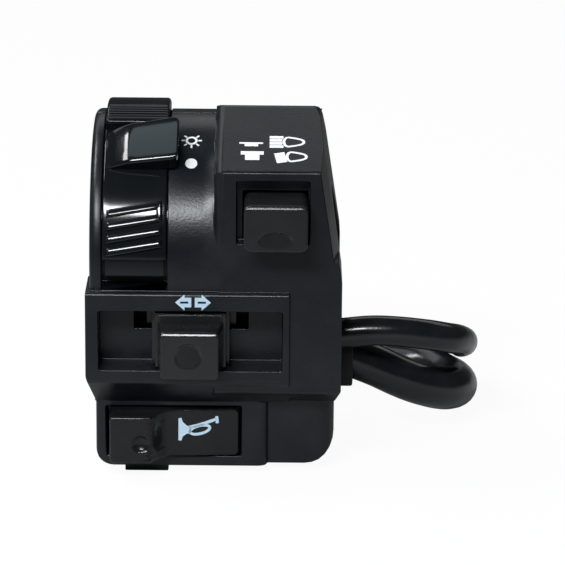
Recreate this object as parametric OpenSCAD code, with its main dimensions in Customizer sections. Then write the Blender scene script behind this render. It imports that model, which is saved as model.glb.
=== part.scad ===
// Handlebar switch cluster: a two-half clamp housing with a lighting lever, a dimmer button,
// a sliding turn knob, a rocking horn button and two sleeved cords folded behind it.
// Millimetres. X runs along the handlebar, Y away from the rider, Z up.
// The origin lies on the handlebar's axis at the middle of the housing.

/* [Handlebar] */
// Diameter of the handlebar that the housing clamps
bar_d = 22.2; // [21.4:0.1:22.8]
// Wall of the saddle round the handlebar
saddle_wall = 2.2; // [1.8:0.1:2.4]

/* [Housing] */
// Width of the housing along the handlebar
body_w = 51.2; // [47:0.2:56]
// Radius of the round barrel
barrel_r = 26.1; // [23.6:0.1:28]
// Thickness of the moulded walls
wall = 2.2; // [1.9:0.1:2.4]
// Gap between the two halves where they clamp
split_gap = 0.4; // [0.2:0.1:0.8]
// Distance from the bar's axis to the dimmer block's front face
front_face = 26.2; // [25.4:0.1:26.6]
// Distance from the bar's axis to the flat back
back_depth = 19; // [18:0.5:21]
// Drop from the bar's axis to the surface that the part stands on
base_drop = 44; // [43.4:0.2:48]
// Lean of the right flank towards the top
flank_in = 4.3; // [2:0.1:4.5]

/* [Lighting lever] */
// Width of the lever's band
lever_w = 12.8; // [12.4:0.1:13.2]
// Turn of the lever from the lamp sign to the dot, in degrees
lever_turn = 13; // [8:0.5:13]
// Height of the thumb tab over the barrel
tab_h = 5; // [4:0.2:7]
// Height of the ridged top grip over the barrel
grip_h = 2.2; // [1.4:0.1:2.6]
// Depth of the lever's track in the barrel
track_depth = 4.2; // [4:0.1:4.4]

/* [Dimmer button] */
// Width of the button's face
dimmer_w = 12.6; // [11.6:0.1:12.8]
// Height of the button's face
dimmer_h = 9.4; // [8.6:0.1:9.6]
// Distance that the button stands out of the block
dimmer_proud = 7; // [5:0.1:9]
// Travel of the button
dimmer_push = 3; // [1:0.1:3.2]

/* [Turn knob] */
// Width of the knob's face
knob_w = 11.4; // [10:0.2:12]
// Height of the knob's face
knob_h = 9.7; // [8.4:0.1:9.8]
// Distance that the knob stands out of the panel
knob_proud = 6.5; // [4:0.1:8]
// Travel of the knob to each side
turn_slide = 5; // [3:0.1:5.4]
// Depth of the panel's window
window_depth = 7; // [6.5:0.1:7.2]

/* [Horn button] */
// Width of the button
horn_w = 26.4; // [25.6:0.1:26.6]
// Height of the button
horn_h = 9.9; // [9.2:0.1:10]
// Distance that the thumb pad stands out of the horn block
pad_proud = 6; // [4:0.1:7]
// Turn of the button when it is pressed, in degrees
horn_turn = 7; // [3:0.5:7]

/* [Cords] */
// Diameter of the upper sleeved cord
upper_d = 6.4; // [5.6:0.1:6.6]
// Diameter of the lower sleeved cord
lower_d = 9; // [8:0.1:9.2]

/* [Hidden] */
$fa = 6;
$fs = 0.3;

// Ends of the housing and of the two halves
half_w = body_w / 2;
x_left = -half_w;
x_right = half_w;
barrel_x0 = x_left + 0.8;
low_x0 = x_left + 1.8;
low_x1 = x_right - 1.2;
front_y = -split_gap / 2;
rear_y = split_gap / 2;
base_z = -base_drop;
front_bottom = base_z + 1.7;
bore_r = bar_d / 2;
saddle_r = bore_r + saddle_wall;

// Dimmer block, with its sign face sloping up and back
face_y = -front_face;
block_x0 = x_right - 25.6;
block_round = 2.2;
ridge_y = -1.5;
ridge_z = barrel_r + 2;
sign_z = ridge_z - 7.4;
sign_slope = (ridge_z - sign_z) / (ridge_y - face_y);
block_bot = -28.5;

// Turn panel and its window
panel_y = face_y - 1;
panel_x1 = x_right - 10.4;
panel_top = -4.2;
panel_bot = -22.8;
window_w = panel_x1 - x_left - 4;
turn_x = x_left + 2.6 + window_w / 2;
window_z0 = -20.3;
window_z1 = -7.9;
window_y = panel_y + window_depth;
turn_wall_y = window_y + 1.9;
slot_w = knob_w + 2 * turn_slide + 1.4;
slot_z0 = -13.6;
slot_z1 = -9.6;
turn_rail_z = -21;

// Horn block and its recess
horn_y = -22;
horn_z0 = front_bottom + 2.5;
horn_z1 = horn_z0 + horn_h;
horn_gap = 0.35;
horn_draft = 0.6;
horn_floor_y = -16.5;
lower_in_y = -14.7;
lower_y = -20;
horn_left = low_x0 + 2.1 + horn_gap;
horn_right = horn_left + horn_w;
horn_x1 = horn_right + 5.65;
pivot_x = horn_right - 1.6;
pivot_y = -19.2;
pivot_r = 1;
pivot_hub = 2.2;

// Lever, track and grip, as radii about the bar's axis, ends along X and angles up from the front
side_gap = 0.2;
hook = 1;
lever_x0 = barrel_x0 + 2.4 + side_gap;
lever_x1 = lever_x0 + lever_w;
track_r = barrel_r - track_depth;
foot_r0 = track_r + 0.2;
foot_r1 = foot_r0 + 1.2;
lever_r = barrel_r + 0.2;
lever_a0 = 5.2;
lever_a1 = 112;
track_a0 = lever_a0 - lever_turn - 1;
track_a1 = lever_a1 + 1;
tab_a0 = 46;
tab_a1 = 67;
tab_x1 = lever_x1 + 2.2;
tab_round = 1.9;
grip_a0 = 77;
grip_a1 = lever_a1 - 0.8;
inset = 0.15;
tongue_r = barrel_r - 0.9;
tongue_a0 = lever_a0 - 7.7;
ridge_r = 0.75;
ridge_tilt = 9;
ridge_step = 5.2;
ridge_a = 28;
barrel_round = 1.5;
pocket_r = track_r - 1.8;
finger_x0 = lever_x0 + 5.4;
finger_x1 = finger_x0 + 2;
finger_a0 = 57;
finger_a1 = 63;
light_base_r = saddle_r + 1;
bridge_r = light_base_r + 1;
finger_r = bridge_r + 0.9;
lever_ball_r = 1.5;
lever_ball_a = 20;
lever_ball_x = lever_x1 - 3;
lever_ball_at = foot_r0 - 0.05 - lever_ball_r;

// Dimmer button, its recess, guide and base
dimmer_x = x_right - 13.3;
dimmer_z = sign_z - 9.7;
dimmer_gap = 0.25;
recess_y = face_y + 3.2;
guide_y = recess_y + 1.9;
flange_y0 = guide_y + 0.2;
flange_y1 = flange_y0 + 1.5;
dimmer_front = face_y - dimmer_proud;
dimmer_base_y0 = flange_y1 + dimmer_push + 1.3;
dimmer_base_y1 = dimmer_base_y0 + 1.4;
dimmer_bore = 2.7;
scoop_r = 2.2;
scoop_w = 3.9;
post_z0 = dimmer_z + dimmer_h / 2 + 1.6;
post_z = post_z0 + 1.2;
post_w = 3.4;
post_at = 5.3;
dimmer_in_x0 = block_x0 + wall + 1.2;
dimmer_in_x1 = x_right - flank_in - 0.9;
dimmer_in_z = dimmer_z - 8;

// Turn knob, slider and base behind the wall
knob_y = panel_y - knob_proud;
skirt_y = window_y - 0.3;
skirt_w = knob_w + 4.2;
skirt_z0 = window_z0 + 0.3;
skirt_z1 = window_z1 - 0.4;
stem_w = knob_w - 1;
stem_z0 = slot_z0 + 0.3;
stem_z1 = slot_z1 - 0.3;
slider_y0 = turn_wall_y + 0.2;
slider_y1 = slider_y0 + 3.1;
slider_w = stem_w + 7.6;
slider_z0 = turn_rail_z + 0.4;
slider_z1 = stem_z1 + 0.7;
turn_ball_r = 1;
turn_ball_x = turn_x + stem_w / 2 + 1.9;
turn_ball_y = (slider_y0 + slider_y1) / 2;
turn_bridge_y1 = slider_y1 + 1.1;
turn_base_y0 = turn_bridge_y1 + 0.6;
turn_base_y1 = turn_base_y0 + 1.5;
turn_screw_z = -24.2;
turn_screw_x0 = low_x0 + 5;
turn_screw_x1 = panel_x1 - 4.2;
turn_touch_z = -16.5;

// Horn spring, peg, leaf and base
pad_y = horn_y - pad_proud;
pad_x1 = horn_left + 12;
plate_y = horn_y - 0.4;
plate_back_y = horn_y + 2.2;
horn_mid = (horn_z0 + horn_z1) / 2;
horn_spring_x = horn_left + 5.4;
peg_x = horn_left + 15;
peg_r = 1.3;
peg_y1 = lower_in_y + 0.7;
leaf_y0 = peg_y1 + 1.6;
leaf_y1 = leaf_y0 + 0.3;
horn_base_y0 = leaf_y1 + 0.9;
horn_base_y1 = horn_base_y0 + 1.2;
horn_post_x = horn_right + 0.15;

// Screws
screw_r = 2;
screw_head_r = 3.6;
screw_head_h = 3;
upper_screw_x = (lever_x1 + hook + block_x0) / 2;
upper_screw_z = barrel_r - 8;
lower_screw_z = -36;
upper_seat_y = 10;
lower_seat_y = 7;
screw_tip_y = -11;
small_r = 1;
small_head_r = 1.9;
small_head_h = 1.2;
fit = 0.05;
wire_r = 0.6;
grommet_in = low_x1 - wall - 2.4;
wire_x = grommet_in - 0.1;
lower_screw_x = (horn_post_x + 1.8 + grommet_in) / 2;
post_wall = 1.4;

// Cords: where they leave, and the routes that they take round to the fold behind
upper_y = -5;
upper_z = -19.2;
lower_yc = 1.5;
lower_zc = -26.2;
upper_exit = x_right + 0.2;
lower_exit = x_right + 2.8;
neck_u = upper_d / 2 + 1.4;
neck_l = lower_d / 2 + 1.8;
tie_t = 0.8;
run_u = base_z + tie_t + upper_d / 2;
run_l = base_z + tie_t + lower_d / 2;
waist_y = 110;
fold_y = 146;
fold_r = 18.5;
upper_end_y = 130;
lower_end_y = 82;
lower_end_x = 14.4;
upper_route = [[upper_exit, upper_y, upper_z], [32, -5, -18.6], [38, -4.8, -18.8], [43.4, -3.6, -19.8],
    [47.8, -0.6, -21.4], [50.6, 5, -23.6], [51.8, 12, -26.2], [52, 20, -29], [51.2, 28, -31],
    [48.8, 35.6, -33.2], [44.4, 42, -36.2], [38, 46, -38.8], [31, 47.6, run_u], [24, 48.2, run_u],
    [16.5, 50, run_u], [9.6, 54.2, run_u], [4.4, 60.4, run_u], [1.2, 68, run_u], [0.2, 77, run_u],
    [0, 88, run_u], [0, 100, run_u], [0, waist_y, run_u], [0, 120, run_u], [0, upper_end_y, run_u]];
lower_route = [[lower_exit, lower_yc, lower_zc], [33, 1.8, -28.2], [38, 2.6, -30.8], [43, 4.2, -33.2],
    [47.2, 7.6, -35.2], [50, 12.4, -36.6], [51, 18, -37.6], [50.2, 23.6, -38.3], [47.8, 28.6, -38.6],
    [44, 32.6, run_l], [39, 35.2, run_l], [33, 36.8, run_l], [26, 37.5, run_l], [19, 37.8, run_l],
    [12, 38.2, run_l], [5, 39.2, run_l], [-4, 42, run_l], [-11.4, 47.6, run_l], [-16.4, 55.4, run_l],
    [-18, 64, run_l], [-18, 66, run_l]];
fold_arc = [for (a = [180 : -15 : 0]) [fold_r * cos(a), fold_y + fold_r * sin(a), run_l]];
hank_route = concat([[-18, 66, run_l], [-18, 68, run_l], [-16.6, 78, run_l], [-12.6, 90, run_l],
    [-9.2, 100, run_l], [-8.3, waist_y, run_l], [-9.2, 120, run_l], [-13, 130, run_l], [-17, 139, run_l]],
    fold_arc, [[17, 139, run_l], [13, 130, run_l], [9.2, 120, run_l], [8.3, waist_y, run_l], [9, 101, run_l],
    [11.6, 93, run_l], [14.2, 86, run_l], [lower_end_x, lower_end_y, run_l]]);

function unit(v) = v / norm(v);
function total(p, i = 0) = i >= len(p) - 1 ? 0 : norm(p[i + 1] - p[i]) + total(p, i + 1);
function least(p, q) = min([for (a = p) for (b = q) norm(a - b)]);
function least_self(p) = min([for (i = [0 : len(p) - 6]) for (j = [i + 5 : len(p) - 1]) norm(p[i] - p[j])]);

// Least gap of the fold to itself, and of the upper cord to the lower one, and the two lengths
echo(fold_gap = least_self(hank_route) - lower_d);
echo(cord_gap = least(upper_route, concat(lower_route, hank_route)) - (upper_d + lower_d) / 2);
echo(upper_length = total(upper_route), lower_length = total(lower_route) + total(hank_route));

// Corner of a polygon, each point being [x, y, radius], as an arc of short chords
function corner(a, b, c, r, n) =
    let (u = unit(a - b), w = unit(c - b), h = acos(u * w) / 2, m = b + unit(u + w) * r / sin(h))
    let (s = b + u * r / tan(h) - m, e = b + w * r / tan(h) - m)
    let (a0 = atan2(s[1], s[0]), turn = (atan2(e[1], e[0]) - a0 + 540) % 360 - 180)
    [for (i = [0 : n]) m + r * [cos(a0 + turn * i / n), sin(a0 + turn * i / n)]];
function flat(p) = [p[0], p[1]];
function rounded(p, n = 6) = [for (i = [0 : len(p) - 1])
    each p[i][2] == 0 ? [flat(p[i])]
        : corner(flat(p[(i + len(p) - 1) % len(p)]), flat(p[i]), flat(p[(i + 1) % len(p)]), p[i][2], n)];

// Rings and faces of a round tube swept along points; up is a direction that the route never takes,
// and first and last are the directions that its two ends face, so that they lie flat on what they meet
function heading(p, i) = unit(p[min(i + 1, len(p) - 1)] - p[max(i - 1, 0)]);
function ring(at, t, r, n, up) =
    let (u = unit(cross(up, t)), w = cross(t, u))
    [for (k = [0 : n - 1]) at + r * (cos(360 * k / n) * u + sin(360 * k / n) * w)];
function side(i, k, n) = let (a = i * n + k, b = i * n + (k + 1) % n) [[a, a + n, b + n], [a, b + n, b]];

module tube(p, r, n, up, first = undef, last = undef) {
    end = len(p) - 1;
    heads = [for (i = [0 : end]) i == 0 && first != undef ? first
        : i == end && last != undef ? last : heading(p, i)];
    points = [for (i = [0 : end]) each ring(p[i], heads[i], r, n, up)];
    start_cap = [[for (k = [0 : n - 1]) k]];
    end_cap = [[for (k = [n - 1 : -1 : 0]) end * n + k]];
    sides = [for (i = [0 : end - 1]) for (k = [0 : n - 1]) each side(i, k, n)];
    polyhedron(points = points, faces = concat(start_cap, sides, end_cap));
}

// Coil spring from the origin up Z
module coil(r, wire, length, turns) {
    steps = turns * 8;
    path = [for (i = [0 : steps]) [r * cos(45 * i), r * sin(45 * i), wire + (length - 2 * wire) * i / steps]];
    tube(path, wire, 6, [0, 0, 1]);
}

module box(x0, x1, y0, y1, z0, z1) {
    translate([x0, y0, z0]) cube([x1 - x0, y1 - y0, z1 - z0]);
}

// Profile in Y and Z pulled along X, and profile in X and Z pulled along Y
module along_x(x0, x1) {
    translate([x0, 0, 0]) rotate([90, 0, 90]) linear_extrude(x1 - x0) children();
}

module along_y(y0, y1) {
    translate([0, y1, 0]) rotate([90, 0, 0]) linear_extrude(y1 - y0) children();
}

module along_z(z0, z1) {
    translate([0, 0, z0]) linear_extrude(z1 - z0) children();
}

module rod_x(r, x0, x1, y = 0, z = 0) {
    translate([x0, y, z]) rotate([0, 90, 0]) cylinder(r = r, h = x1 - x0);
}

module rod_y(r, y0, y1, x, z) {
    translate([x, y0, z]) rotate([-90, 0, 0]) cylinder(r = r, h = y1 - y0);
}

module rod_z(r, z0, z1, x, y) {
    translate([x, y, z0]) cylinder(r = r, h = z1 - z0);
}

// Profile of [radius, x] turned about the bar's axis from angle a0 to a1, up from the front
module sector(a0, a1) {
    rotate([90, 0, -90]) rotate([0, 0, a0]) rotate_extrude(angle = a1 - a0) mirror([0, 1]) children();
}

module band(r0, r1, x0, x1) {
    translate([r0, x0]) square([r1 - r0, x1 - x0]);
}

// Puts what is drawn along -Y at angle a round the bar
module at_angle(a) {
    rotate([-a, 0, 0]) children();
}

// Barrel: a profile turned right round the bar's axis, its left rim rounded
module barrel() {
    rotate([90, 0, -90]) rotate_extrude() mirror([0, 1]) polygon(rounded([[0, barrel_x0, 0],
        [barrel_r, barrel_x0, barrel_round], [barrel_r, x_right, 0], [0, x_right, 0]]));
}

// Dimmer block: its side profile pulled along the bar, with its left front edge rounded
module dimmer_block() {
    difference() {
        along_x(block_x0, x_right) polygon(rounded([[0, block_bot, 0], [0, ridge_z - 0.4, 0],
            [ridge_y, ridge_z, 3], [face_y, sign_z, 0.8], [face_y, -25, 3], [lower_y - 1, block_bot, 1]]));
        difference() {
            box(block_x0 - 1, block_x0 + block_round, face_y - 1, face_y + block_round,
                panel_top - 1, ridge_z);
            rod_z(block_round, panel_top - 2, ridge_z + 1, block_x0 + block_round, face_y + block_round);
        }
        translate([block_x0 + block_round, face_y, sign_z]) rotate([atan(sign_slope), 0, 0]) difference() {
            box(-block_round - 1, 0, -4, 34, -block_round, 1);
            rod_y(block_round + 0.06, -5, 35, 0, -block_round);
        }
    }
}

// Outline of either half seen from the front
module outline(bottom) {
    polygon(rounded([[barrel_x0, ridge_z, 0], [x_right - flank_in, ridge_z, 2.2],
        [x_right - flank_in, 26, 1.5], [x_right, -2, 3], [x_right, -25, 1.5], [low_x1, -29, 1.5],
        [low_x1, bottom, 6], [low_x0, bottom, 3.5], [low_x0, -28.6, 2.4], [x_left, -21.8, 2.4],
        [x_left, panel_top, 0], [barrel_x0, panel_top, 0]]));
}

module front_outer() {
    intersection() {
        along_y(-40, front_y) outline(front_bottom);
        union() {
            barrel();
            dimmer_block();
            along_x(x_left, panel_x1) polygon(rounded([[-15, block_bot, 0], [-15, panel_top, 0],
                [panel_y, panel_top, 0.7], [panel_y, panel_bot, 1.6], [horn_y, block_bot, 0]]));
            along_z(front_bottom, -15) polygon(rounded([[low_x0, 0, 0], [low_x0, lower_y, 1],
                [low_x1, lower_y, 4], [low_x1, 0, 0]]));
            along_z(front_bottom, block_bot + 0.5) polygon(rounded([[low_x0, -10, 0], [low_x0, horn_y, 0.8],
                [horn_x1, horn_y, 1.8], [horn_x1 + 1.6, -10, 0]]));
        }
    }
    box(x_left + 7.6, x_left + 16.4, -20.5, -13, base_z, front_bottom + 1);
}

// Bevel cut along the right flank's front edge, which leans in towards the top
module flank_bevel() {
    lean = atan(flank_in / 28);
    translate([x_right - 0.8 * flank_in - 0.1, face_y, 20.4]) rotate([0, -lean, 0]) rotate([0, 0, -6.5])
        box(-0.9, 6, -2, 24, -18.2, 14);
}

module front_pockets() {
    box(low_x0 + wall, low_x1 - wall, lower_in_y, 1, front_bottom + wall, -12.4);
    box(low_x0 + wall, panel_x1 - wall, turn_wall_y, 1, turn_rail_z, panel_top - 0.2);
    along_x(dimmer_in_x0, dimmer_in_x1) polygon([[guide_y, dimmer_in_z], [guide_y, roof(guide_y)],
        [ridge_y, roof(ridge_y)], [1, roof(ridge_y)], [1, dimmer_in_z]]);
    box(panel_x1 + 0.4, dimmer_in_x1, guide_y, -13.2, -16, dimmer_in_z + 1);
    sector(-14, 88) band(saddle_r - 1, pocket_r, barrel_x0 + wall, lever_x1 + hook - 0.2);
}

// Underside of the sloping sign face
function roof(y) = sign_z + sign_slope * (y - face_y) - wall;

// Post that hangs from the sloping roof and carries one end of the dimmer base
module dimmer_post(x) {
    along_x(x - post_w / 2, x + post_w / 2) polygon([[guide_y - 0.5, post_z0],
        [guide_y - 0.5, roof(guide_y) + 0.5], [dimmer_base_y0, roof(dimmer_base_y0) + 0.5],
        [dimmer_base_y0, post_z0]]);
}

// Posts inside the front half that carry the clamp screw and the contact bases
module front_posts() {
    rod_y(screw_r + post_wall, lower_in_y - 1, front_y, lower_screw_x, lower_screw_z);
    rod_y(2.3, lower_in_y - 1, turn_base_y0, turn_screw_x0, turn_screw_z);
    rod_y(2.3, lower_in_y - 1, turn_base_y0, turn_screw_x1, turn_screw_z);
    dimmer_post(dimmer_x - post_at);
    dimmer_post(dimmer_x + post_at);
    box(horn_post_x - 1.8, horn_post_x + 1.8, lower_in_y - 0.5, leaf_y0, horn_mid - 2.5, horn_mid + 2.5);
    box(peg_x - 6.4, peg_x - 4.4, lower_in_y - 0.5, horn_base_y0, horn_mid - 2.5, horn_mid + 2.5);
    at_angle(lever_ball_a) rod_y(lever_ball_r + 1.2, -pocket_r - 0.6, -saddle_r + 0.6, lever_ball_x, 0);
}

// Track for the lever's band and the hooks at its edges, open at the finger slot
module lever_track() {
    sector(track_a0, track_a1) union() {
        band(track_r, barrel_r + 4, lever_x0 - side_gap, lever_x1 + side_gap);
        band(track_r, foot_r1 + 0.2, lever_x0 - hook - side_gap, lever_x1 + hook + side_gap);
    }
    sector(finger_a0 - lever_turn - 2, finger_a1 + 2)
        band(pocket_r - 0.5, track_r + 0.5, finger_x0 - 0.4, finger_x1 + 0.4);
    sector(tongue_a0 - lever_turn - 0.6, track_a0 + 0.5)
        band(track_r + 0.1, tongue_r + 0.2, lever_x0 + 0.3, lever_x1 - 0.3);
}

module grommet_cut() {
    rod_x(neck_u + fit, low_x1 - wall - 1, x_right + 3, upper_y, upper_z);
    rod_x(neck_l + fit, low_x1 - wall - 1, x_right + 3, lower_yc, lower_zc);
}

module small_pilot(x, z, y0, y1) {
    rod_y(small_r + fit, y0, y1, x, z);
}

module front_cuts() {
    rod_x(bore_r, barrel_x0 - 2, x_right + 2);
    lever_track();
    at_angle(lever_ball_a) rod_y(lever_ball_r + 0.1, -track_r - 1, -saddle_r - 0.4, lever_ball_x, 0);
    box(dimmer_x - dimmer_w / 2 - 1.6, dimmer_x + dimmer_w / 2 + 0.4, face_y - 2, recess_y,
        dimmer_z - dimmer_h / 2 - 0.4, dimmer_z + dimmer_h / 2 + 3.1);
    box(dimmer_x - dimmer_w / 2 - dimmer_gap, dimmer_x + dimmer_w / 2 + dimmer_gap, face_y, guide_y + 1,
        dimmer_z - dimmer_h / 2 - dimmer_gap, dimmer_z + dimmer_h / 2 + dimmer_gap);
    along_y(panel_y - 2, window_y) polygon(rounded([[turn_x - window_w / 2, window_z0, 0.6],
        [turn_x - window_w / 2, window_z1, 0.5], [turn_x + window_w / 2, window_z1, 0.5],
        [turn_x + window_w / 2, window_z0, 0.6]]));
    box(turn_x - slot_w / 2, turn_x + slot_w / 2, window_y - 1, turn_wall_y + 1, slot_z0, slot_z1);
    box(horn_left - horn_gap, horn_right + 0.6, horn_y - 6, horn_floor_y,
        horn_z0 - horn_gap, horn_z1 + horn_gap);
    rod_z(pivot_r, horn_z0 - 1.6, horn_z1 + 1.6, pivot_x, pivot_y);
    rod_y(peg_r + 1.1, horn_floor_y - 1, lower_in_y + 1, peg_x, horn_mid);
    rod_y(screw_r + fit, screw_tip_y - 1, 1, upper_screw_x, upper_screw_z);
    rod_y(screw_r + fit, screw_tip_y - 1, 1, lower_screw_x, lower_screw_z);
    small_pilot(turn_screw_x0, turn_screw_z, turn_base_y0 - 5, turn_base_y0 + 1);
    small_pilot(turn_screw_x1, turn_screw_z, turn_base_y0 - 5, turn_base_y0 + 1);
    small_pilot(dimmer_x - post_at, post_z, dimmer_base_y0 - 5, dimmer_base_y0 + 1);
    small_pilot(dimmer_x + post_at, post_z, dimmer_base_y0 - 5, dimmer_base_y0 + 1);
    small_pilot(horn_post_x, horn_mid, leaf_y0 - 2.8, leaf_y0 + 1);
    grommet_cut();
}

module saddle(y0, y1) {
    intersection() {
        rod_x(saddle_r, barrel_x0, x_right);
        along_y(y0, y1) outline(base_z);
    }
}

module front_housing() {
    color("#1d1d1f") difference() {
        union() {
            difference() {
                front_outer();
                front_pockets();
                flank_bevel();
            }
            saddle(-20, front_y);
            front_posts();
        }
        front_cuts();
    }
}

module rear_outer() {
    intersection() {
        along_y(rear_y, back_depth) outline(base_z);
        union() {
            barrel();
            along_x(block_x0, x_right) polygon([[0, ridge_z - 0.4], [9, ridge_z - 4.2], [9, 12], [0, 12]]);
            along_z(base_z, -15) polygon(rounded([[low_x0, 0, 0], [low_x1, 0, 0], [low_x1, back_depth - 4, 4],
                [low_x0, back_depth - 4, 4]]));
        }
    }
}

module rear_pockets() {
    box(low_x0 + wall, low_x1 - wall, -1, back_depth - 4 - wall, base_z + wall, -12.4);
    intersection() {
        rod_x(barrel_r - wall, lever_x1 + hook + 1.4, x_right - flank_in - 1.2);
        box(x_left, x_right, -1, back_depth - wall, 2, barrel_r);
    }
}

module rear_housing() {
    color("#1b1b1d") difference() {
        union() {
            difference() {
                rear_outer();
                rear_pockets();
            }
            saddle(rear_y, 20);
            intersection() {
                rear_outer();
                union() {
                    rod_y(screw_head_r + 1.8, rear_y, upper_seat_y + 6, upper_screw_x, upper_screw_z);
                    rod_y(screw_head_r + 1.8, rear_y, back_depth - 5, lower_screw_x, lower_screw_z);
                }
            }
        }
        rod_x(bore_r, barrel_x0 - 2, x_right + 2);
        lever_track();
        rod_y(screw_r + 0.2, -1, back_depth + 1, upper_screw_x, upper_screw_z);
        rod_y(screw_head_r + 0.3, upper_seat_y, back_depth + 1, upper_screw_x, upper_screw_z);
        rod_y(screw_r + 0.2, -1, back_depth + 1, lower_screw_x, lower_screw_z);
        rod_y(screw_head_r + 0.3, lower_seat_y, back_depth + 1, lower_screw_x, lower_screw_z);
        grommet_cut();
    }
}

// Pan-head screw along Y with a cross recess, its seat at y
module clamp_screw(x, z, y) {
    difference() {
        union() {
            rod_y(screw_r, screw_tip_y, y + 0.5, x, z);
            rod_y(screw_head_r, y, y + screw_head_h, x, z);
        }
        box(x - 0.5, x + 0.5, y + 1.4, y + screw_head_h + 1, z - 2.2, z + 2.2);
        box(x - 2.2, x + 2.2, y + 1.4, y + screw_head_h + 1, z - 0.5, z + 0.5);
    }
}

module clamp_screws() {
    color("#9a9ea3") {
        clamp_screw(upper_screw_x, upper_screw_z, upper_seat_y);
        clamp_screw(lower_screw_x, lower_screw_z, lower_seat_y);
    }
}

// One slanting ridge of the lever's lower grip
module lever_ridge(a) {
    at_angle(a) translate([(lever_x0 + lever_x1) / 2, -lever_r + 0.1, 0]) rotate([0, -ridge_tilt, 0])
        rotate([0, 90, 0]) cylinder(r = ridge_r, h = lever_w - 1.8, center = true);
}

// Short upright bar that joins the right ends of the two upper ridges
module ridge_end() {
    at_angle(ridge_a - 0.2)
        rod_z(ridge_r - 0.05, -ridge_step / 5, ridge_step / 5, lever_x1 - 1.1, -lever_r + 0.1);
}

// Round of the tab's upper outer corner, cut away from it
module tab_corner() {
    at_angle(tab_a1) difference() {
        box(tab_x1 - tab_round, tab_x1 + 1, -barrel_r - tab_h - 1, -barrel_r - 0.7, -tab_round, 1);
        rod_y(tab_round + 0.08, -barrel_r - tab_h - 2, -barrel_r, tab_x1 - tab_round, -tab_round);
    }
}

module light_lever() {
    color("#222224") difference() {
        union() {
            sector(lever_a0, lever_a1) union() {
                band(foot_r0, foot_r1, lever_x0 - hook, lever_x1 + hook);
                band(foot_r0, lever_r, lever_x0, lever_x1);
            }
            sector(tongue_a0, lever_a0 + 0.5) band(foot_r0 + inset, tongue_r, lever_x0 + 0.6, lever_x1 - 0.6);
            sector(tab_a0, tab_a1) polygon(rounded([[lever_r - 1, lever_x0 + inset, 0],
                [lever_r + 0.1, lever_x0 + inset, 0], [barrel_r + 0.4 * tab_h, lever_x0 + 1.9, 1.4],
                [barrel_r + 0.56 * tab_h, lever_x0 + 5, 3], [barrel_r + tab_h, tab_x1, 0.6],
                [barrel_r + 0.8, tab_x1, 0], [barrel_r + 0.8, lever_x1 - inset, 0],
                [lever_r - 1, lever_x1 - inset, 0]], 4));
            sector(grip_a0, grip_a1) polygon(rounded([[lever_r - 1, lever_x0 + inset, 0],
                [barrel_r + grip_h, lever_x0 + inset, 0.9], [barrel_r + grip_h, lever_x1 - inset, 0.9],
                [lever_r - 1, lever_x1 - inset, 0]], 4));
            for (i = [0 : 3]) lever_ridge(ridge_a - ridge_step * i);
            ridge_end();
            sector(finger_a0, finger_a1) band(finger_r, foot_r0 + 0.6, finger_x0, finger_x1);
        }
        for (a = [grip_a0 + 4.4 : 7.4 : lever_a1 - 2]) at_angle(a)
            rod_x(0.7, lever_x0 - 1, lever_x1 + 1, -barrel_r - grip_h - 0.3, 0);
        tab_corner();
        for (a = [lever_ball_a, lever_ball_a + lever_turn]) at_angle(a)
            translate([lever_ball_x, -lever_ball_at, 0]) sphere(r = lever_ball_r + 0.45);
    }
}

module light_bridge() {
    color("#c9a24a") sector(finger_a0 - 3, finger_a1 + 3)
        band(bridge_r, finger_r - fit, finger_x0 - 1.7, finger_x1 + 1.7);
}

module light_base() {
    color("#6b4a2b") sector(38, 86) band(saddle_r + fit, light_base_r, finger_x0 - 3.2, finger_x1 + 3.2);
}

module light_contacts() {
    color("#c9a24a") for (a = [43, 49.5, 56])
        sector(a, a + 3.6) band(light_base_r + fit, bridge_r - 0.12, finger_x0 - 1.2, finger_x1 + 1.2);
}

module lever_ball() {
    color("#b8bcc2") at_angle(lever_ball_a)
        translate([lever_ball_x, -lever_ball_at, 0]) sphere(r = lever_ball_r);
}

module lever_spring() {
    color("#8d9196") at_angle(lever_ball_a) translate([lever_ball_x, -saddle_r - 0.45, 0]) rotate([90, 0, 0])
        coil(1.05, 0.2, lever_ball_at - lever_ball_r - saddle_r - 0.5, 4);
}

module dimmer_face(grow) {
    polygon(rounded([for (c = [[-1, -1], [-1, 1], [1, 1], [1, -1]])
        [dimmer_x + c[0] * (dimmer_w / 2 + grow), dimmer_z + c[1] * (dimmer_h / 2 + grow), 1.4 + grow]]));
}

// Oval finger scoop, a round-ended rod sunk a little way into the button's face
module dimmer_scoop(y, z) {
    rod_x(scoop_r, dimmer_x - scoop_w / 2, dimmer_x + scoop_w / 2, y, z);
    translate([dimmer_x - scoop_w / 2, y, z]) sphere(r = scoop_r);
    translate([dimmer_x + scoop_w / 2, y, z]) sphere(r = scoop_r);
}

module dimmer_button() {
    color("#242426") difference() {
        union() {
            along_y(dimmer_front, flange_y0 + 0.5) dimmer_face(0);
            along_y(flange_y0, flange_y1) dimmer_face(0.9);
        }
        dimmer_scoop(dimmer_front - 0.8 * scoop_r, dimmer_z - 2.1);
        rod_y(dimmer_bore, dimmer_front + 5, flange_y1 + 1, dimmer_x, dimmer_z);
    }
}

module dimmer_bridge() {
    color("#c9a24a") difference() {
        rod_y(4.7, flange_y1 + fit, flange_y1 + 0.55, dimmer_x, dimmer_z);
        rod_y(3.1, flange_y1 - 1, flange_y1 + 2, dimmer_x, dimmer_z);
    }
}

module dimmer_spring() {
    color("#8d9196") translate([dimmer_x, dimmer_base_y0 - fit, dimmer_z]) rotate([90, 0, 0])
        coil(2.1, 0.28, dimmer_base_y0 - dimmer_front - 5 - dimmer_push - 0.6, 6);
}

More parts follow.
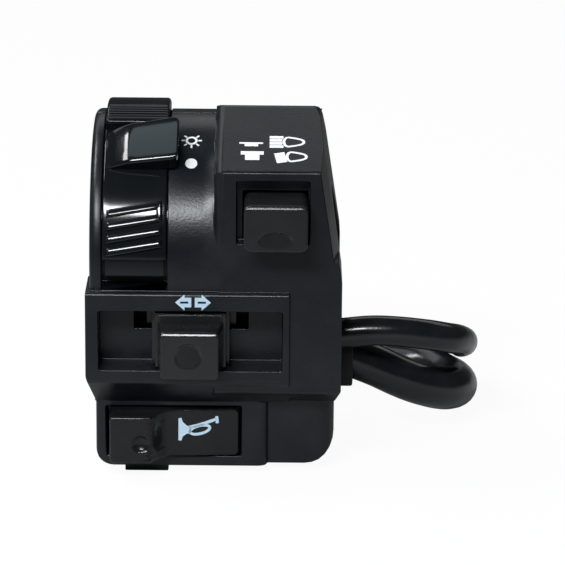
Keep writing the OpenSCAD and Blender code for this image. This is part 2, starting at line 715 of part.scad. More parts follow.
module dimmer_base() {
    color("#6b4a2b") difference() {
        box(dimmer_x - post_at - 2.2, dimmer_x + post_at + 2.2, dimmer_base_y0, dimmer_base_y1,
            dimmer_z - dimmer_h / 2, post_z + 1.6);
        small_pilot(dimmer_x - post_at, post_z, dimmer_base_y0 - 1, dimmer_base_y1 + 1);
        small_pilot(dimmer_x + post_at, post_z, dimmer_base_y0 - 1, dimmer_base_y1 + 1);
    }
}

module dimmer_contacts() {
    color("#c9a24a") for (s = [-3.9, 3.9])
        rod_y(1, dimmer_base_y0 - 0.5, dimmer_base_y0 - 0.02, dimmer_x + s, dimmer_z);
}

// Thumb knob: a skirt in the window, a step and a tapered block with a round dish
module turn_knob() {
    color("#2a2725") difference() {
        union() {
            box(turn_x - skirt_w / 2, turn_x + skirt_w / 2, skirt_y - 3.2, skirt_y, skirt_z0, skirt_z1);
            box(turn_x - skirt_w / 2 + 0.7, turn_x + skirt_w / 2 - 0.7, skirt_y - 5.2, skirt_y - 1,
                skirt_z0, skirt_z1 - 0.3);
            intersection() {
                along_z(skirt_z0, skirt_z1) polygon([[turn_x - knob_w / 2, knob_y],
                    [turn_x - skirt_w / 2 + 1.3, skirt_y - 4], [turn_x + skirt_w / 2 - 1.3, skirt_y - 4],
                    [turn_x + knob_w / 2, knob_y]]);
                along_x(turn_x - skirt_w / 2, turn_x + skirt_w / 2) polygon(rounded([[knob_y, skirt_z0, 0.8],
                    [knob_y, skirt_z0 + knob_h, 0.8], [skirt_y - 3, skirt_z1 - 0.4, 0],
                    [skirt_y - 3, skirt_z0, 0]]));
            }
            box(turn_x - stem_w / 2, turn_x + stem_w / 2, skirt_y - 1, slider_y1, stem_z0, stem_z1);
        }
        translate([turn_x - 0.6, knob_y - 4.7, skirt_z0 + 0.48 * knob_h]) sphere(r = 5.5);
    }
}

module turn_slider() {
    color("#d8d4c6") difference() {
        box(turn_x - slider_w / 2, turn_x + slider_w / 2, slider_y0, slider_y1, slider_z0, slider_z1);
        box(turn_x - stem_w / 2 - fit, turn_x + stem_w / 2 + fit, slider_y0 - 1, slider_y1 + 1,
            stem_z0 - fit, stem_z1 + fit);
        rod_z(turn_ball_r + 0.1, slider_z0 - 1, slider_z0 + 6.4, turn_ball_x, turn_ball_y);
    }
}

module turn_bridge() {
    color("#c9a24a") box(turn_x - 4, turn_x + 4, slider_y1 + fit, turn_bridge_y1,
        turn_touch_z - 1.5, turn_touch_z + 1.5);
}

module turn_ball() {
    color("#b8bcc2") translate([turn_ball_x, turn_ball_y, turn_rail_z + 0.1 + turn_ball_r])
        sphere(r = turn_ball_r);
}

module turn_spring() {
    color("#8d9196") translate([turn_ball_x, turn_ball_y, turn_rail_z + 2 * turn_ball_r + 0.15])
        coil(0.7, 0.18, slider_z0 + 6.4 - turn_rail_z - 2 * turn_ball_r - 0.2, 5);
}

module turn_base() {
    color("#6b4a2b") difference() {
        box(turn_screw_x0 - 2.4, turn_screw_x1 + 1.8, turn_base_y0, turn_base_y1,
            turn_screw_z - 2.4, slot_z1 - 1.8);
        small_pilot(turn_screw_x0, turn_screw_z, turn_base_y0 - 1, turn_base_y1 + 1);
        small_pilot(turn_screw_x1, turn_screw_z, turn_base_y0 - 1, turn_base_y1 + 1);
    }
}

module turn_contacts() {
    color("#c9a24a") for (s = [-7, 0, 7])
        rod_y(1.4, turn_base_y0 - 0.45, turn_base_y0 - 0.02, turn_x + s, turn_touch_z);
}

module horn_button() {
    color("#2a2725") difference() {
        union() {
            along_z(horn_z0, horn_z1) polygon(rounded([[horn_left, plate_back_y, 0],
                [horn_right, plate_back_y, 0], [horn_right, plate_y, 0.6], [pad_x1, plate_y - 1, 1],
                [pad_x1 - 3, pad_y + 0.3, 1.2],
                [pad_x1 - 5.4, pad_y, 2], [horn_left + horn_draft, pad_y + 0.2, 1.2]]));
            rod_z(pivot_hub, horn_z0, horn_z1, pivot_x, pivot_y);
            rod_y(peg_r, plate_y, peg_y1, peg_x, horn_mid);
        }
        rod_z(pivot_r + fit, horn_z0 - 1, horn_z1 + 1, pivot_x, pivot_y);
        translate([horn_left + 6.6, pad_y - 1.5, horn_mid - 0.6]) sphere(r = 2.5);
        rod_y(3, horn_y - 3.4, plate_back_y + 1, horn_spring_x, horn_mid);
    }
}

module horn_pin() {
    color("#b8bcc2") rod_z(pivot_r - 0.01, horn_z0 - 1.5, horn_z1 + 1.5, pivot_x, pivot_y);
}

module horn_spring() {
    color("#8d9196") translate([horn_spring_x, horn_floor_y - fit, horn_mid]) rotate([90, 0, 0])
        coil(1.8, 0.28, horn_floor_y - horn_y + 3.4 - 23 * sin(horn_turn) - 0.4, 4);
}

module horn_leaf() {
    color("#c9a24a") difference() {
        box(peg_x - 3, horn_post_x + 1.8, leaf_y0, leaf_y1, horn_mid - 2, horn_mid + 2);
        small_pilot(horn_post_x, horn_mid, leaf_y0 - 1, leaf_y1 + 1);
    }
}

module horn_base() {
    color("#6b4a2b") difference() {
        union() {
            box(peg_x - 6.4, horn_post_x + 1.8, horn_base_y0, horn_base_y1, horn_mid - 3.2, horn_mid + 3.2);
            box(horn_post_x - 1.8, horn_post_x + 1.8, leaf_y1, horn_base_y1, horn_mid - 3.2, horn_mid + 3.2);
        }
        small_pilot(horn_post_x, horn_mid, leaf_y0 - 1, horn_base_y1 + 1);
    }
}

module horn_contact() {
    color("#c9a24a") rod_y(1.3, horn_base_y0 - 0.5, horn_base_y0 - 0.02, peg_x, horn_mid);
}

// Small pan-head screw along Y, its head on a face at y
module small_screw(x, z, y, length) {
    difference() {
        union() {
            rod_y(small_r, y - length, y + 0.3, x, z);
            rod_y(small_head_r, y, y + small_head_h, x, z);
        }
        box(x - 1.3, x + 1.3, y + 0.6, y + 2, z - 0.3, z + 0.3);
    }
}

module base_screws() {
    color("#9a9ea3") {
        small_screw(turn_screw_x0, turn_screw_z, turn_base_y1, 6);
        small_screw(turn_screw_x1, turn_screw_z, turn_base_y1, 6);
        small_screw(dimmer_x - post_at, post_z, dimmer_base_y1, 6);
        small_screw(dimmer_x + post_at, post_z, dimmer_base_y1, 6);
        small_screw(horn_post_x, horn_mid, horn_base_y1, 4.8);
    }
}

// Wire from the grommet's inner face over the points between to the back of a base at x, y and z
module inner_wire(start, between, x, y, z) {
    path = concat([start], between, [[x + 0.4, y + 1.7, z], [x, y + fit, z]]);
    tube(path, wire_r, 6, [0, 0, 1], [-1, 0, 0], [0, -1, 0]);
}

// Wires from the grommet to the backs of the contact bases
module inner_wires() {
    color("#7a2f2a") {
        inner_wire([wire_x, -6, -20], [[wire_x - 4.7, -7, -21.2], [wire_x - 11.7, -7.4, -21.6],
            [wire_x - 16.7, -8.2, -21.6]], wire_x - 18.7, turn_base_y1, -21.6);
        inner_wire([wire_x, -4, -18], [[wire_x - 7.7, -4.4, -18.6], [wire_x - 17.7, -5.6, -18.6],
            [wire_x - 27.7, -7, -18.8]], wire_x - 31.7, turn_base_y1, -19);
        inner_wire([wire_x, 1, -27], [[wire_x - 6.7, 0, -28.6], [wire_x - 13.7, -3.4, -30.6],
            [wire_x - 18.3, -6.4, -32]], wire_x - 19.7, horn_base_y1, -32.4);
    }
}

module grommet_lobes(grow, x0, x1) {
    rod_x(neck_u + grow, x0, x1, upper_y, upper_z);
    rod_x(neck_l + grow, x0, x1, lower_yc, lower_zc);
}

module grommet() {
    color("#161616") difference() {
        union() {
            grommet_lobes(1.1, grommet_in, low_x1 - wall - fit);
            grommet_lobes(0, low_x1 - wall - 1, upper_exit);
            rod_x(neck_l, low_x1 - wall - 1, lower_exit, lower_yc, lower_zc);
        }
        rod_x(upper_d / 2 - 0.8, low_x1 - wall - 3, upper_exit + 1, upper_y, upper_z);
        rod_x(lower_d / 2 - 0.8, low_x1 - wall - 3, lower_exit + 1, lower_yc, lower_zc);
    }
}

module upper_sleeve() {
    color("#141414") tube(upper_route, upper_d / 2, 10, [0, 0, 1], [1, 0, 0], [0, 1, 0]);
}

module lower_sleeve() {
    color("#141414") tube(lower_route, lower_d / 2, 10, [0, 0, 1], [1, 0, 0], [0, 1, 0]);
}

module lower_hank() {
    color("#141414") tube(hank_route, lower_d / 2, 8, [0, 0, 1], [0, 1, 0], [0, -1, 0]);
}

// Strap round the waist of the fold
module cord_tie() {
    w = 8.3 + lower_d / 2 + 0.2;
    h = lower_d + 0.2;
    color("#1a1a1a") difference() {
        along_y(waist_y - 2.5, waist_y + 2.5) polygon(rounded([[-w - tie_t, base_z, 3],
            [-w - tie_t, base_z + h + 2 * tie_t, 3], [w + tie_t, base_z + h + 2 * tie_t, 3],
            [w + tie_t, base_z, 3]]));
        along_y(waist_y - 4, waist_y + 4) polygon(rounded([[-w, base_z + tie_t - 0.02, 2.2],
            [-w, base_z + tie_t + h, 2.2], [w, base_z + tie_t + h, 2.2], [w, base_z + tie_t - 0.02, 2.2]]));
    }
}

// Plug housing with rows of sockets in its far face and a latch on top
module plug(x, y0, y1, w, h, columns, rows, mouth) {
    difference() {
        union() {
            box(x - w / 2, x + w / 2, y0, y1, base_z, base_z + h);
            box(x - 2, x + 2, (y0 + y1) / 2 - 3, (y0 + y1) / 2 + 3, base_z + h - 0.5, base_z + h + 1);
        }
        for (i = [0 : columns - 1])
            for (j = [0 : rows - 1])
                rod_y(1.1, min(mouth, mouth + 9), mouth + 9, x + (i - (columns - 1) / 2) * 3.8,
                    base_z + h / 2 + (j - (rows - 1) / 2) * 3.8);
    }
}

module upper_connector() {
    color("#d9d6cc") plug(0, upper_end_y, upper_end_y + 18, 12, upper_d + 1.4, 3, 1, upper_end_y + 10);
}

module lower_connector() {
    color("#d9d6cc")
        plug(lower_end_x, lower_end_y - 18, lower_end_y, 16, lower_d + 1.2, 3, 2, lower_end_y - 19);
}

front_housing();
rear_housing();
clamp_screws();
light_lever();
light_bridge();
light_base();
light_contacts();
lever_ball();
lever_spring();
dimmer_button();
dimmer_bridge();
dimmer_spring();
dimmer_base();
dimmer_contacts();
turn_knob();
turn_slider();
turn_bridge();
turn_ball();
turn_spring();
turn_base();
turn_contacts();
horn_button();
horn_pin();
horn_spring();
horn_leaf();
horn_base();
horn_contact();
base_screws();
inner_wires();
grommet();
upper_sleeve();
lower_sleeve();
lower_hank();
cord_tie();
upper_connector();
lower_connector();
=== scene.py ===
"""Looks of a handlebar switch cluster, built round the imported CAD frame.

X runs along the handlebar, Y away from the rider and Z up, with the origin on the bar's axis, as in the CAD frame.
Sizes in the classes are millimetres; meshes are made in metres.
"""

import logging
import math
from collections.abc import Callable, Sequence
from dataclasses import dataclass, field
from enum import Enum

import bmesh
import bpy
import numpy as np
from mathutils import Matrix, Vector


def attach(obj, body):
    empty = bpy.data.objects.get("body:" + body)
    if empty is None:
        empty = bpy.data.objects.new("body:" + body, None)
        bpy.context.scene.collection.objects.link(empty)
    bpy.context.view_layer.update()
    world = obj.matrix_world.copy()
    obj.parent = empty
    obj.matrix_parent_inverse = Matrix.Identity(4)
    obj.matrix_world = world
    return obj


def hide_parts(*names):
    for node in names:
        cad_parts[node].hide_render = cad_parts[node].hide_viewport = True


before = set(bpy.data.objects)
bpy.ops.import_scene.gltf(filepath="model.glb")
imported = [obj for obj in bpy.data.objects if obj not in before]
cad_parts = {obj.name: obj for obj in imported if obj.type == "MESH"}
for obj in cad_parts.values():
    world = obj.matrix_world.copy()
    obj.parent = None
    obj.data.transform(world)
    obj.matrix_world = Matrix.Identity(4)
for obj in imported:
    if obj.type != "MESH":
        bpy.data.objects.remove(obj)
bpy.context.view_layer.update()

LOG = logging.getLogger("switch_cluster")
MM = 0.001

Array = np.ndarray
Piece = bpy.types.Object
Tree = bpy.types.NodeTree
Socket = bpy.types.NodeSocket
Pair = tuple[float, float]
Triple = tuple[float, float, float]
Colour = Triple
Carrier = Callable[[Array, Array, Array], Array]

MERGE = 1e-7  # Points nearer than this, in metres, are one.
ROUTE_FINENESS, ROUTE_LEAST = 40, 8  # Points for each route point before the resampling, and the fewest after it.
CORNER_POINTS, SIDE_POINTS = 9, 14  # Points round a corner and along a side of a rounded rectangle.
SCOOP_EDGE = 0.3  # Width of a scoop's edge, as a share of the squared distance.
NOISE_MIDDLE = (0.3, 0.7)  # Between these lie nearly all values of a noise.


class Surface(Enum):
    """Mould surfaces, each with its grain depth in millimetres, grain pitch per metre and roughness."""

    SPARK = (0.022, 3000.0, 0.30)
    SATIN = (0.004, 3200.0, 0.20)
    POLISHED = (0.002, 1500.0, 0.11)
    RUBBER = (0.015, 2600.0, 0.58)


def grid_quads(rows: int, cols: int, wrap_rows: bool = False, wrap_cols: bool = False) -> Array:
    """Quads that join neighbouring points of a grid.

    Point (r, c) has the number r * cols + c, and a wrapped direction joins its last line to its first.

    Args:
        rows: Number of grid lines.
        cols: Number of points on a line.
        wrap_rows: Whether the last line joins the first.
        wrap_cols: Whether each line is a closed ring.

    Returns:
        An array of four point numbers for each quad.
    """
    r = np.arange(rows if wrap_rows else rows - 1)[:, None]
    c = np.arange(cols if wrap_cols else cols - 1)[None, :]
    below, beside = (r + 1) % rows, (c + 1) % cols
    return np.stack([r * cols + c, r * cols + beside, below * cols + beside, below * cols + c], -1).reshape(-1, 4)


def tube_faces(rows: int, cols: int) -> list[list[int]]:
    """Faces of a tube: quads between closed rings, and a lid on the first and the last of them."""
    lids = [list(range(cols)), list(range((rows - 1) * cols, rows * cols))]
    return grid_quads(rows, cols, wrap_cols=True).tolist() + lids


def put_mesh(name: str, points: Array, faces: list, sharp: float = 35.0) -> Piece:
    """Makes a smooth mesh object at the origin and links it.

    Args:
        name: Name of the piece.
        points: Vertex places in metres, one row each.
        faces: Lists of vertex numbers.
        sharp: Edges that turn by more than this many degrees stay sharp.

    Returns:
        The new object.
    """
    mesh = bpy.data.meshes.new(name)
    mesh.from_pydata(points.tolist(), [], faces)
    work = bmesh.new()
    work.from_mesh(mesh)
    bmesh.ops.remove_doubles(work, verts=work.verts, dist=MERGE)
    bmesh.ops.recalc_face_normals(work, faces=work.faces)
    work.to_mesh(mesh)
    work.free()
    mesh.polygons.foreach_set("use_smooth", np.ones(len(mesh.polygons), bool))
    mesh.set_sharp_from_angle(angle=math.radians(sharp))
    piece = bpy.data.objects.new(name, mesh)
    bpy.context.scene.collection.objects.link(piece)
    return piece


def smooth_route(points: Array, step: float) -> Array:
    """A smooth curve through points, resampled at equal steps.

    Each span is a cubic whose end slopes are the chord over the two neighbouring points, taken over chord length.

    Args:
        points: Route points in metres.
        step: Spacing of the result in metres.

    Returns:
        Points of the curve, first and last on the route's ends.
    """
    t = np.concatenate([[0.0], np.cumsum(np.linalg.norm(np.diff(points, axis=0), axis=1))])
    slope = np.gradient(points, t, axis=0)
    at = np.linspace(0.0, t[-1], ROUTE_FINENESS * len(points))
    i = np.clip(np.searchsorted(t, at, side="right") - 1, 0, len(t) - 2)
    h = (t[i + 1] - t[i])[:, None]
    u = ((at - t[i]) / (t[i + 1] - t[i]))[:, None]
    fine = ((1 + 2 * u) * (1 - u) ** 2 * points[i] + u * (1 - u) ** 2 * h * slope[i]
            + u * u * (3 - 2 * u) * points[i + 1] + u * u * (u - 1) * h * slope[i + 1])
    s = np.concatenate([[0.0], np.cumsum(np.linalg.norm(np.diff(fine, axis=0), axis=1))])
    even = np.linspace(0.0, s[-1], max(ROUTE_LEAST, int(round(s[-1] / step))))
    return np.stack([np.interp(even, s, fine[:, k]) for k in range(3)], 1)


def route_length(path: Array) -> float:
    """Length of a chain of points."""
    return float(np.linalg.norm(np.diff(path, axis=0), axis=1).sum())


class Wiring:
    """Adds shader nodes to a tree and joins them."""

    def __init__(self, tree: Tree) -> None:
        """Clears the tree and keeps it."""
        self.tree = tree
        tree.nodes.clear()

    def add(self, kind: str, sockets: dict | None = None, **settings: object) -> bpy.types.Node:
        """Adds a node.

        Args:
            kind: Blender's name of the node type.
            sockets: Input values, or output sockets to join to them, by input name or number.
            settings: Properties of the node.

        Returns:
            The node.
        """
        node = self.tree.nodes.new(kind)
        for key, value in settings.items():
            setattr(node, key, value)
        for key, value in (sockets or {}).items():
            if isinstance(value, Socket):
                self.tree.links.new(value, node.inputs[key])
            else:
                node.inputs[key].default_value = value
        return node

    def math(self, operation: str, a: object, b: object = 0.0, clamp: bool = False) -> Socket:
        """Adds a Math node and returns its output."""
        return self.add("ShaderNodeMath", {0: a, 1: b}, operation=operation, use_clamp=clamp).outputs[0]

    def span(self, value: Socket, low: float, high: float, to_low: float = 0.0, to_high: float = 1.0) -> Socket:
        """Maps a value from one range to another, held at both ends."""
        return self.add("ShaderNodeMapRange", {0: value, 1: low, 2: high, 3: to_low, 4: to_high}).outputs[0]

    def mix(self, factor: object, a: object, b: object) -> Socket:
        """Adds a colour mix and returns its output."""
        return self.add("ShaderNodeMix", {0: factor, 6: a, 7: b}, data_type="RGBA").outputs[2]

    def place(self) -> Socket:
        """Places in the piece's own frame."""
        return self.add("ShaderNodeTexCoord").outputs["Object"]

    def stretched(self, place: Socket, scale: Triple) -> Socket:
        """Places scaled along X, Y and Z."""
        return self.add("ShaderNodeMapping", {"Vector": place, "Scale": scale}).outputs[0]

    def noise(self, place: Socket, scale: object, detail: float = 2.0, rough: float = 0.5) -> Socket:
        """Adds a noise and returns its value."""
        sockets = {"Vector": place, "Scale": scale, "Detail": detail, "Roughness": rough}
        return self.add("ShaderNodeTexNoise", sockets).outputs[0]

    def effect(self, tree: Tree, place: Socket, pitch: float | None = None) -> bpy.types.bpy_prop_collection:
        """Adds a shared effect, with its pitch where it has one, and returns its outputs."""
        sockets = {"Place": place} if pitch is None else {"Place": place, "Pitch": pitch}
        return self.add("ShaderNodeGroup", sockets, node_tree=tree).outputs

    def bump(self, height: Socket, strength: float, depth: float, normal: Socket | None = None) -> Socket:
        """Adds a bump with its depth in millimetres, over another where one is given, and returns the normal."""
        sockets = {"Height": height, "Strength": strength, "Distance": depth * MM}
        return self.add("ShaderNodeBump", sockets if normal is None else sockets | {"Normal": normal}).outputs[0]

    def close(self, colour: Socket, rough: Socket, normal: Socket, levels: dict[str, float] | None = None) -> None:
        """Ends a material: its shader, with other levels where they are given, and its output."""
        sockets = {"Base Color": colour, "Roughness": rough, "Normal": normal} | (levels or {})
        self.add("ShaderNodeOutputMaterial", {"Surface": self.add("ShaderNodeBsdfPrincipled", sockets).outputs[0]})


def rgba(colour: Colour) -> tuple[float, float, float, float]:
    """A colour with full alpha."""
    return (*colour, 1.0)


class Effects:
    """Shader node groups that several finishes share."""

    _made: dict[str, Tree] = {}
    place: tuple[str, str] = ("Place", "NodeSocketVector")
    pitch: tuple[str, str] = ("Pitch", "NodeSocketFloat")

    @classmethod
    def group(cls, name: str, inputs: Sequence[tuple[str, str]], outputs: Sequence[str],
              wire: Callable[[Wiring, bpy.types.Node], dict[str, Socket]]) -> Tree:
        """Makes a node group once.

        Args:
            name: Name of the group.
            inputs: Name and socket type of each input.
            outputs: Names of the float outputs.
            wire: Builds the inside and returns the socket for each output.

        Returns:
            The group's tree.
        """
        if name not in cls._made:
            tree = bpy.data.node_groups.new(name, "ShaderNodeTree")
            for label, kind in inputs:
                tree.interface.new_socket(label, in_out="INPUT", socket_type=kind)
            for label in outputs:
                tree.interface.new_socket(label, in_out="OUTPUT", socket_type="NodeSocketFloat")
            w = Wiring(tree)
            source = w.add("NodeGroupInput")
            w.add("NodeGroupOutput", wire(w, source))
            cls._made[name] = tree
        return cls._made[name]

    @classmethod
    def moulded_grain(cls) -> Tree:
        """Fine spark-eroded grain: pits and peaks as a height, and a slow sheen change."""
        def wire(w: Wiring, source: bpy.types.Node) -> dict[str, Socket]:
            place, pitch = source.outputs["Place"], source.outputs["Pitch"]
            fine = w.noise(place, pitch, rough=0.6)
            cells = w.add("ShaderNodeTexVoronoi", {"Vector": place, "Scale": w.math("MULTIPLY", pitch, 0.55)})
            slow = w.noise(place, w.math("MULTIPLY", pitch, 0.02), detail=3.0, rough=0.55)
            height = w.math("ADD", w.math("MULTIPLY", fine, 0.65), w.math("MULTIPLY", cells.outputs["Distance"], 0.5))
            return {"Height": height, "Sheen": slow, "Fleck": fine}
        return cls.group("moulded_grain", [cls.place, cls.pitch], ["Height", "Sheen", "Fleck"], wire)

    @classmethod
    def handling_dust(cls) -> Tree:
        """Masks of thin dust in slow patches and of a few small specks."""
        def wire(w: Wiring, source: bpy.types.Node) -> dict[str, Socket]:
            place = source.outputs["Place"]
            return {"Film": w.span(w.noise(place, 130.0, detail=4.0, rough=0.6), low=0.42, high=0.78),
                    "Speck": w.span(w.noise(place, 1500.0, detail=1.0), low=0.74, high=0.80)}
        return cls.group("handling_dust", [cls.place], ["Film", "Speck"], wire)

    @classmethod
    def drawn_lines(cls) -> Tree:
        """Lines along one direction, as on drawn wire, turned screws and extruded sleeves."""
        def wire(w: Wiring, source: bpy.types.Node) -> dict[str, Socket]:
            place, pitch = source.outputs["Place"], source.outputs["Pitch"]
            return {"Height": w.noise(place, pitch, detail=3.0, rough=0.6),
                    "Stain": w.noise(place, w.math("MULTIPLY", pitch, 0.07))}
        return cls.group("drawn_lines", [cls.place, cls.pitch], ["Height", "Stain"], wire)


@dataclass(frozen=True)
class Finish:
    """A finish: a name and the material made for it once."""

    name: str

    def material(self) -> bpy.types.Material:
        """Returns the material, made on its first use."""
        made = bpy.data.materials.get(self.name)
        if made is None:
            made = bpy.data.materials.new(self.name)
            made.use_nodes = True
            self.wire(Wiring(made.node_tree))
        return made

    def wire(self, w: Wiring) -> None:
        """Builds the nodes; each kind of finish has its own."""
        raise NotImplementedError


@dataclass(frozen=True)
class MouldedPlastic(Finish):
    """Injection-moulded plastic with its mould's grain and a little dust.

    Attributes:
        colour: Colour of the plastic.
        surface: Surface of the mould.
        specular: Specular level of the shader.
        dust: How much dust shows, from 0 to 1.
        mottle: Darkest and lightest share of the colour.
        dusty: Colour of the dust.
        cover: Share of the dust's colour where it is thickest.
        dull: Roughness that the dust adds where it is thickest.
        sheen: Change of the roughness with the slow sheen, either way.
    """

    colour: Colour = (0.012, 0.012, 0.013)
    surface: Surface = Surface.SPARK
    specular: float = 0.4
    dust: float = 0.25
    mottle: Pair = (0.8, 1.25)
    dusty: Colour = (0.34, 0.33, 0.31)
    cover: float = 0.05
    dull: float = 0.08
    sheen: float = 0.05

    def wire(self, w: Wiring) -> None:
        """Grain into Normal and Roughness, dust into Base Color."""
        depth, pitch, rough = self.surface.value
        place = w.place()
        grain = w.effect(Effects.moulded_grain(), place, pitch)
        dust = w.effect(Effects.handling_dust(), place)
        film = w.math("MULTIPLY", w.math("ADD", dust["Film"], dust["Speck"]), self.cover * self.dust)
        tone = w.mix(grain["Sheen"], *(rgba(tuple(share * c for c in self.colour)) for share in self.mottle))
        roughness = w.math("ADD", w.span(grain["Sheen"], *NOISE_MIDDLE, rough - self.sheen, rough + self.sheen),
                           w.math("MULTIPLY", dust["Film"], self.dull * self.dust))
        w.close(w.mix(film, tone, rgba(self.dusty)), roughness, w.bump(grain["Height"], strength=1.0, depth=depth),
                {"Specular IOR Level": self.specular})


@dataclass(frozen=True)
class WorkedMetal(Finish):
    """Plated, drawn or stamped metal with lines along its working and slight tarnish.

    Attributes:
        colour: Colour of the bright metal.
        tarnish: Colour where it has dulled.
        rough: Middle roughness.
        pitch: Lines per metre.
        stretch: Scale of the pattern along X, Y and Z, smallest along the lines.
        depth: Depth of the lines in millimetres.
        polish: Change of the roughness between the lines, down and up.
    """

    colour: Colour = (0.55, 0.56, 0.58)
    tarnish: Colour = (0.32, 0.32, 0.33)
    rough: float = 0.3
    pitch: float = 3000.0
    stretch: Triple = (1.0, 0.06, 1.0)
    depth: float = 0.008
    polish: Pair = (-0.08, 0.1)

    def wire(self, w: Wiring) -> None:
        """Lines into Normal and Roughness, tarnish into Base Color."""
        lines = w.effect(Effects.drawn_lines(), w.stretched(w.place(), self.stretch), self.pitch)
        colour = w.mix(w.span(lines["Stain"], low=0.45, high=0.75), rgba(self.colour), rgba(self.tarnish))
        rough = w.span(lines["Height"], *NOISE_MIDDLE, *(self.rough + change for change in self.polish))
        w.close(colour, rough, w.bump(lines["Height"], strength=0.5, depth=self.depth), {"Metallic": 1.0})


@dataclass(frozen=True)
class PressedBoard(Finish):
    """Brown pressed board with paper fibres, as contact bases are made of."""

    colour: Colour = (0.16, 0.08, 0.035)
    fibre: Colour = (0.26, 0.14, 0.06)
    pitch: float = 1400.0
    stretch: Triple = (1.0, 1.0, 0.22)
    rough: Pair = (0.42, 0.6)

    def wire(self, w: Wiring) -> None:
        """Short fibres into Base Color, Roughness and Normal."""
        lines = w.effect(Effects.drawn_lines(), w.stretched(w.place(), self.stretch), self.pitch)
        colour = w.mix(w.span(lines["Height"], low=0.42, high=0.72), rgba(self.colour), rgba(self.fibre))
        w.close(colour, w.span(lines["Stain"], *NOISE_MIDDLE, *self.rough),
                w.bump(lines["Height"], strength=0.4, depth=0.02))


@dataclass(frozen=True)
class SleevePvc(Finish):
    """Soft black sleeve with fine lines along its length and shallow creases round it.

    The pattern reads the sleeve's own map: U goes once round, V is metres along.
    """

    colour: Colour = (0.0064, 0.0082, 0.0104)
    rough: float = 0.17
    pitch: float = 1600.0
    drawn: Triple = (0.020, 0.12, 1.0)
    crease_pitch: float = 420.0
    creased: Triple = (0.004, 1.0, 1.0)
    dusty: Colour = (0.30, 0.29, 0.27)
    cover: float = 0.03
    dull: float = 0.06

    def wire(self, w: Wiring) -> None:
        """Lengthwise lines and creases into Normal, dull patches into Roughness."""
        along = w.add("ShaderNodeUVMap", uv_map="sleeve").outputs[0]
        lines = w.effect(Effects.drawn_lines(), w.stretched(along, self.drawn), self.pitch)
        folds = w.noise(w.stretched(along, self.creased), self.crease_pitch)
        dust = w.effect(Effects.handling_dust(), w.place())
        film = w.math("MULTIPLY", w.math("ADD", dust["Film"], dust["Speck"]), self.cover)
        rough = w.math("ADD", w.span(lines["Stain"], *NOISE_MIDDLE, self.rough - 0.06, self.rough + 0.08),
                       w.math("MULTIPLY", dust["Film"], self.dull))
        w.close(w.mix(film, rgba(self.colour), rgba(self.dusty)), rough,
                w.bump(lines["Height"], strength=0.35, depth=0.02, normal=w.bump(folds, strength=0.5, depth=0.10)))


@dataclass(frozen=True)
class SignInk(Finish):
    """Pad-printed ink, a little thin and speckled where the grain shows through."""

    colour: Colour = (0.86, 0.87, 0.88)
    thin: Colour = (0.60, 0.62, 0.64)
    pitch: float = 5200.0
    rough: Pair = (0.45, 0.6)
    specular: float = 0.3

    def wire(self, w: Wiring) -> None:
        """Speckle into Base Color and Roughness."""
        grain = w.effect(Effects.moulded_grain(), w.place(), self.pitch)
        colour = w.mix(w.span(grain["Fleck"], low=0.50, high=0.75), rgba(self.colour), rgba(self.thin))
        w.close(colour, w.span(grain["Sheen"], *NOISE_MIDDLE, *self.rough),
                w.bump(grain["Height"], strength=0.4, depth=0.006), {"Specular IOR Level": self.specular})


def dress(piece: Piece, finish: Finish, body: str) -> Piece:
    """Gives a piece its finish and the body that it rides on.

    Args:
        piece: The piece.
        finish: Its finish.
        body: Body that it rides on.

    Returns:
        The piece.
    """
    piece.data.materials.append(finish.material())
    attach(piece, body)
    LOG.info("%s: %d faces", piece.name, len(piece.data.polygons))
    return piece


HOUSING = MouldedPlastic("housing_black_plastic", (0.0054, 0.0070, 0.0096), Surface.SPARK, 0.36, 0.3)
LEVER = MouldedPlastic("lever_black_plastic", (0.0046, 0.0058, 0.0074), Surface.POLISHED, 0.42, 0.1)
GRIP = MouldedPlastic("grip_black_plastic", (0.0046, 0.0058, 0.0074), Surface.POLISHED, 0.20, 0.1)
BUTTON = MouldedPlastic("button_black_plastic", (0.0120, 0.0122, 0.0130), Surface.SATIN, 0.44, 0.2)
# Painted shade: the horn button is the button plastic at 0.6 of its colour, darker for the shade under the turn panel's
# overhang.
HORN_PAINTED_SHADE = MouldedPlastic("horn_black_plastic_painted_shade", (0.0072, 0.0073, 0.0079), Surface.SATIN, 0.32, 0.2)
SLIDER = MouldedPlastic("slider_black_plastic", (0.020, 0.020, 0.021), Surface.SATIN, 0.4, 0.1)
GROMMET = MouldedPlastic("grommet_rubber", (0.011, 0.011, 0.011), Surface.RUBBER, 0.3, 0.5)
TIE = MouldedPlastic("tie_black_nylon", (0.014, 0.014, 0.015), Surface.SATIN, 0.5, 0.2)
PLUG = MouldedPlastic("plug_white_nylon", (0.60, 0.585, 0.53), Surface.SATIN, 0.5, 0.3)
WIRE = MouldedPlastic("wire_red_cover", (0.22, 0.030, 0.025), Surface.SATIN, 0.5, 0.1)
ZINC = WorkedMetal("zinc_plate", (0.58, 0.58, 0.57), (0.40, 0.39, 0.36), 0.30)
SPRING = WorkedMetal("spring_wire", (0.42, 0.43, 0.45), (0.26, 0.26, 0.28), 0.34)
BRASS = WorkedMetal("stamped_brass", (0.66, 0.47, 0.17), (0.40, 0.25, 0.09), 0.32, 2200.0, (0.1, 1.0, 1.0))
BOARD = PressedBoard("contact_board")
SLEEVE = SleevePvc("sleeve_black_pvc")
WHITE_INK = SignInk("sign_white_ink")
BLUE_INK = SignInk("sign_blue_ink", (0.55, 0.72, 0.86), (0.36, 0.50, 0.62))


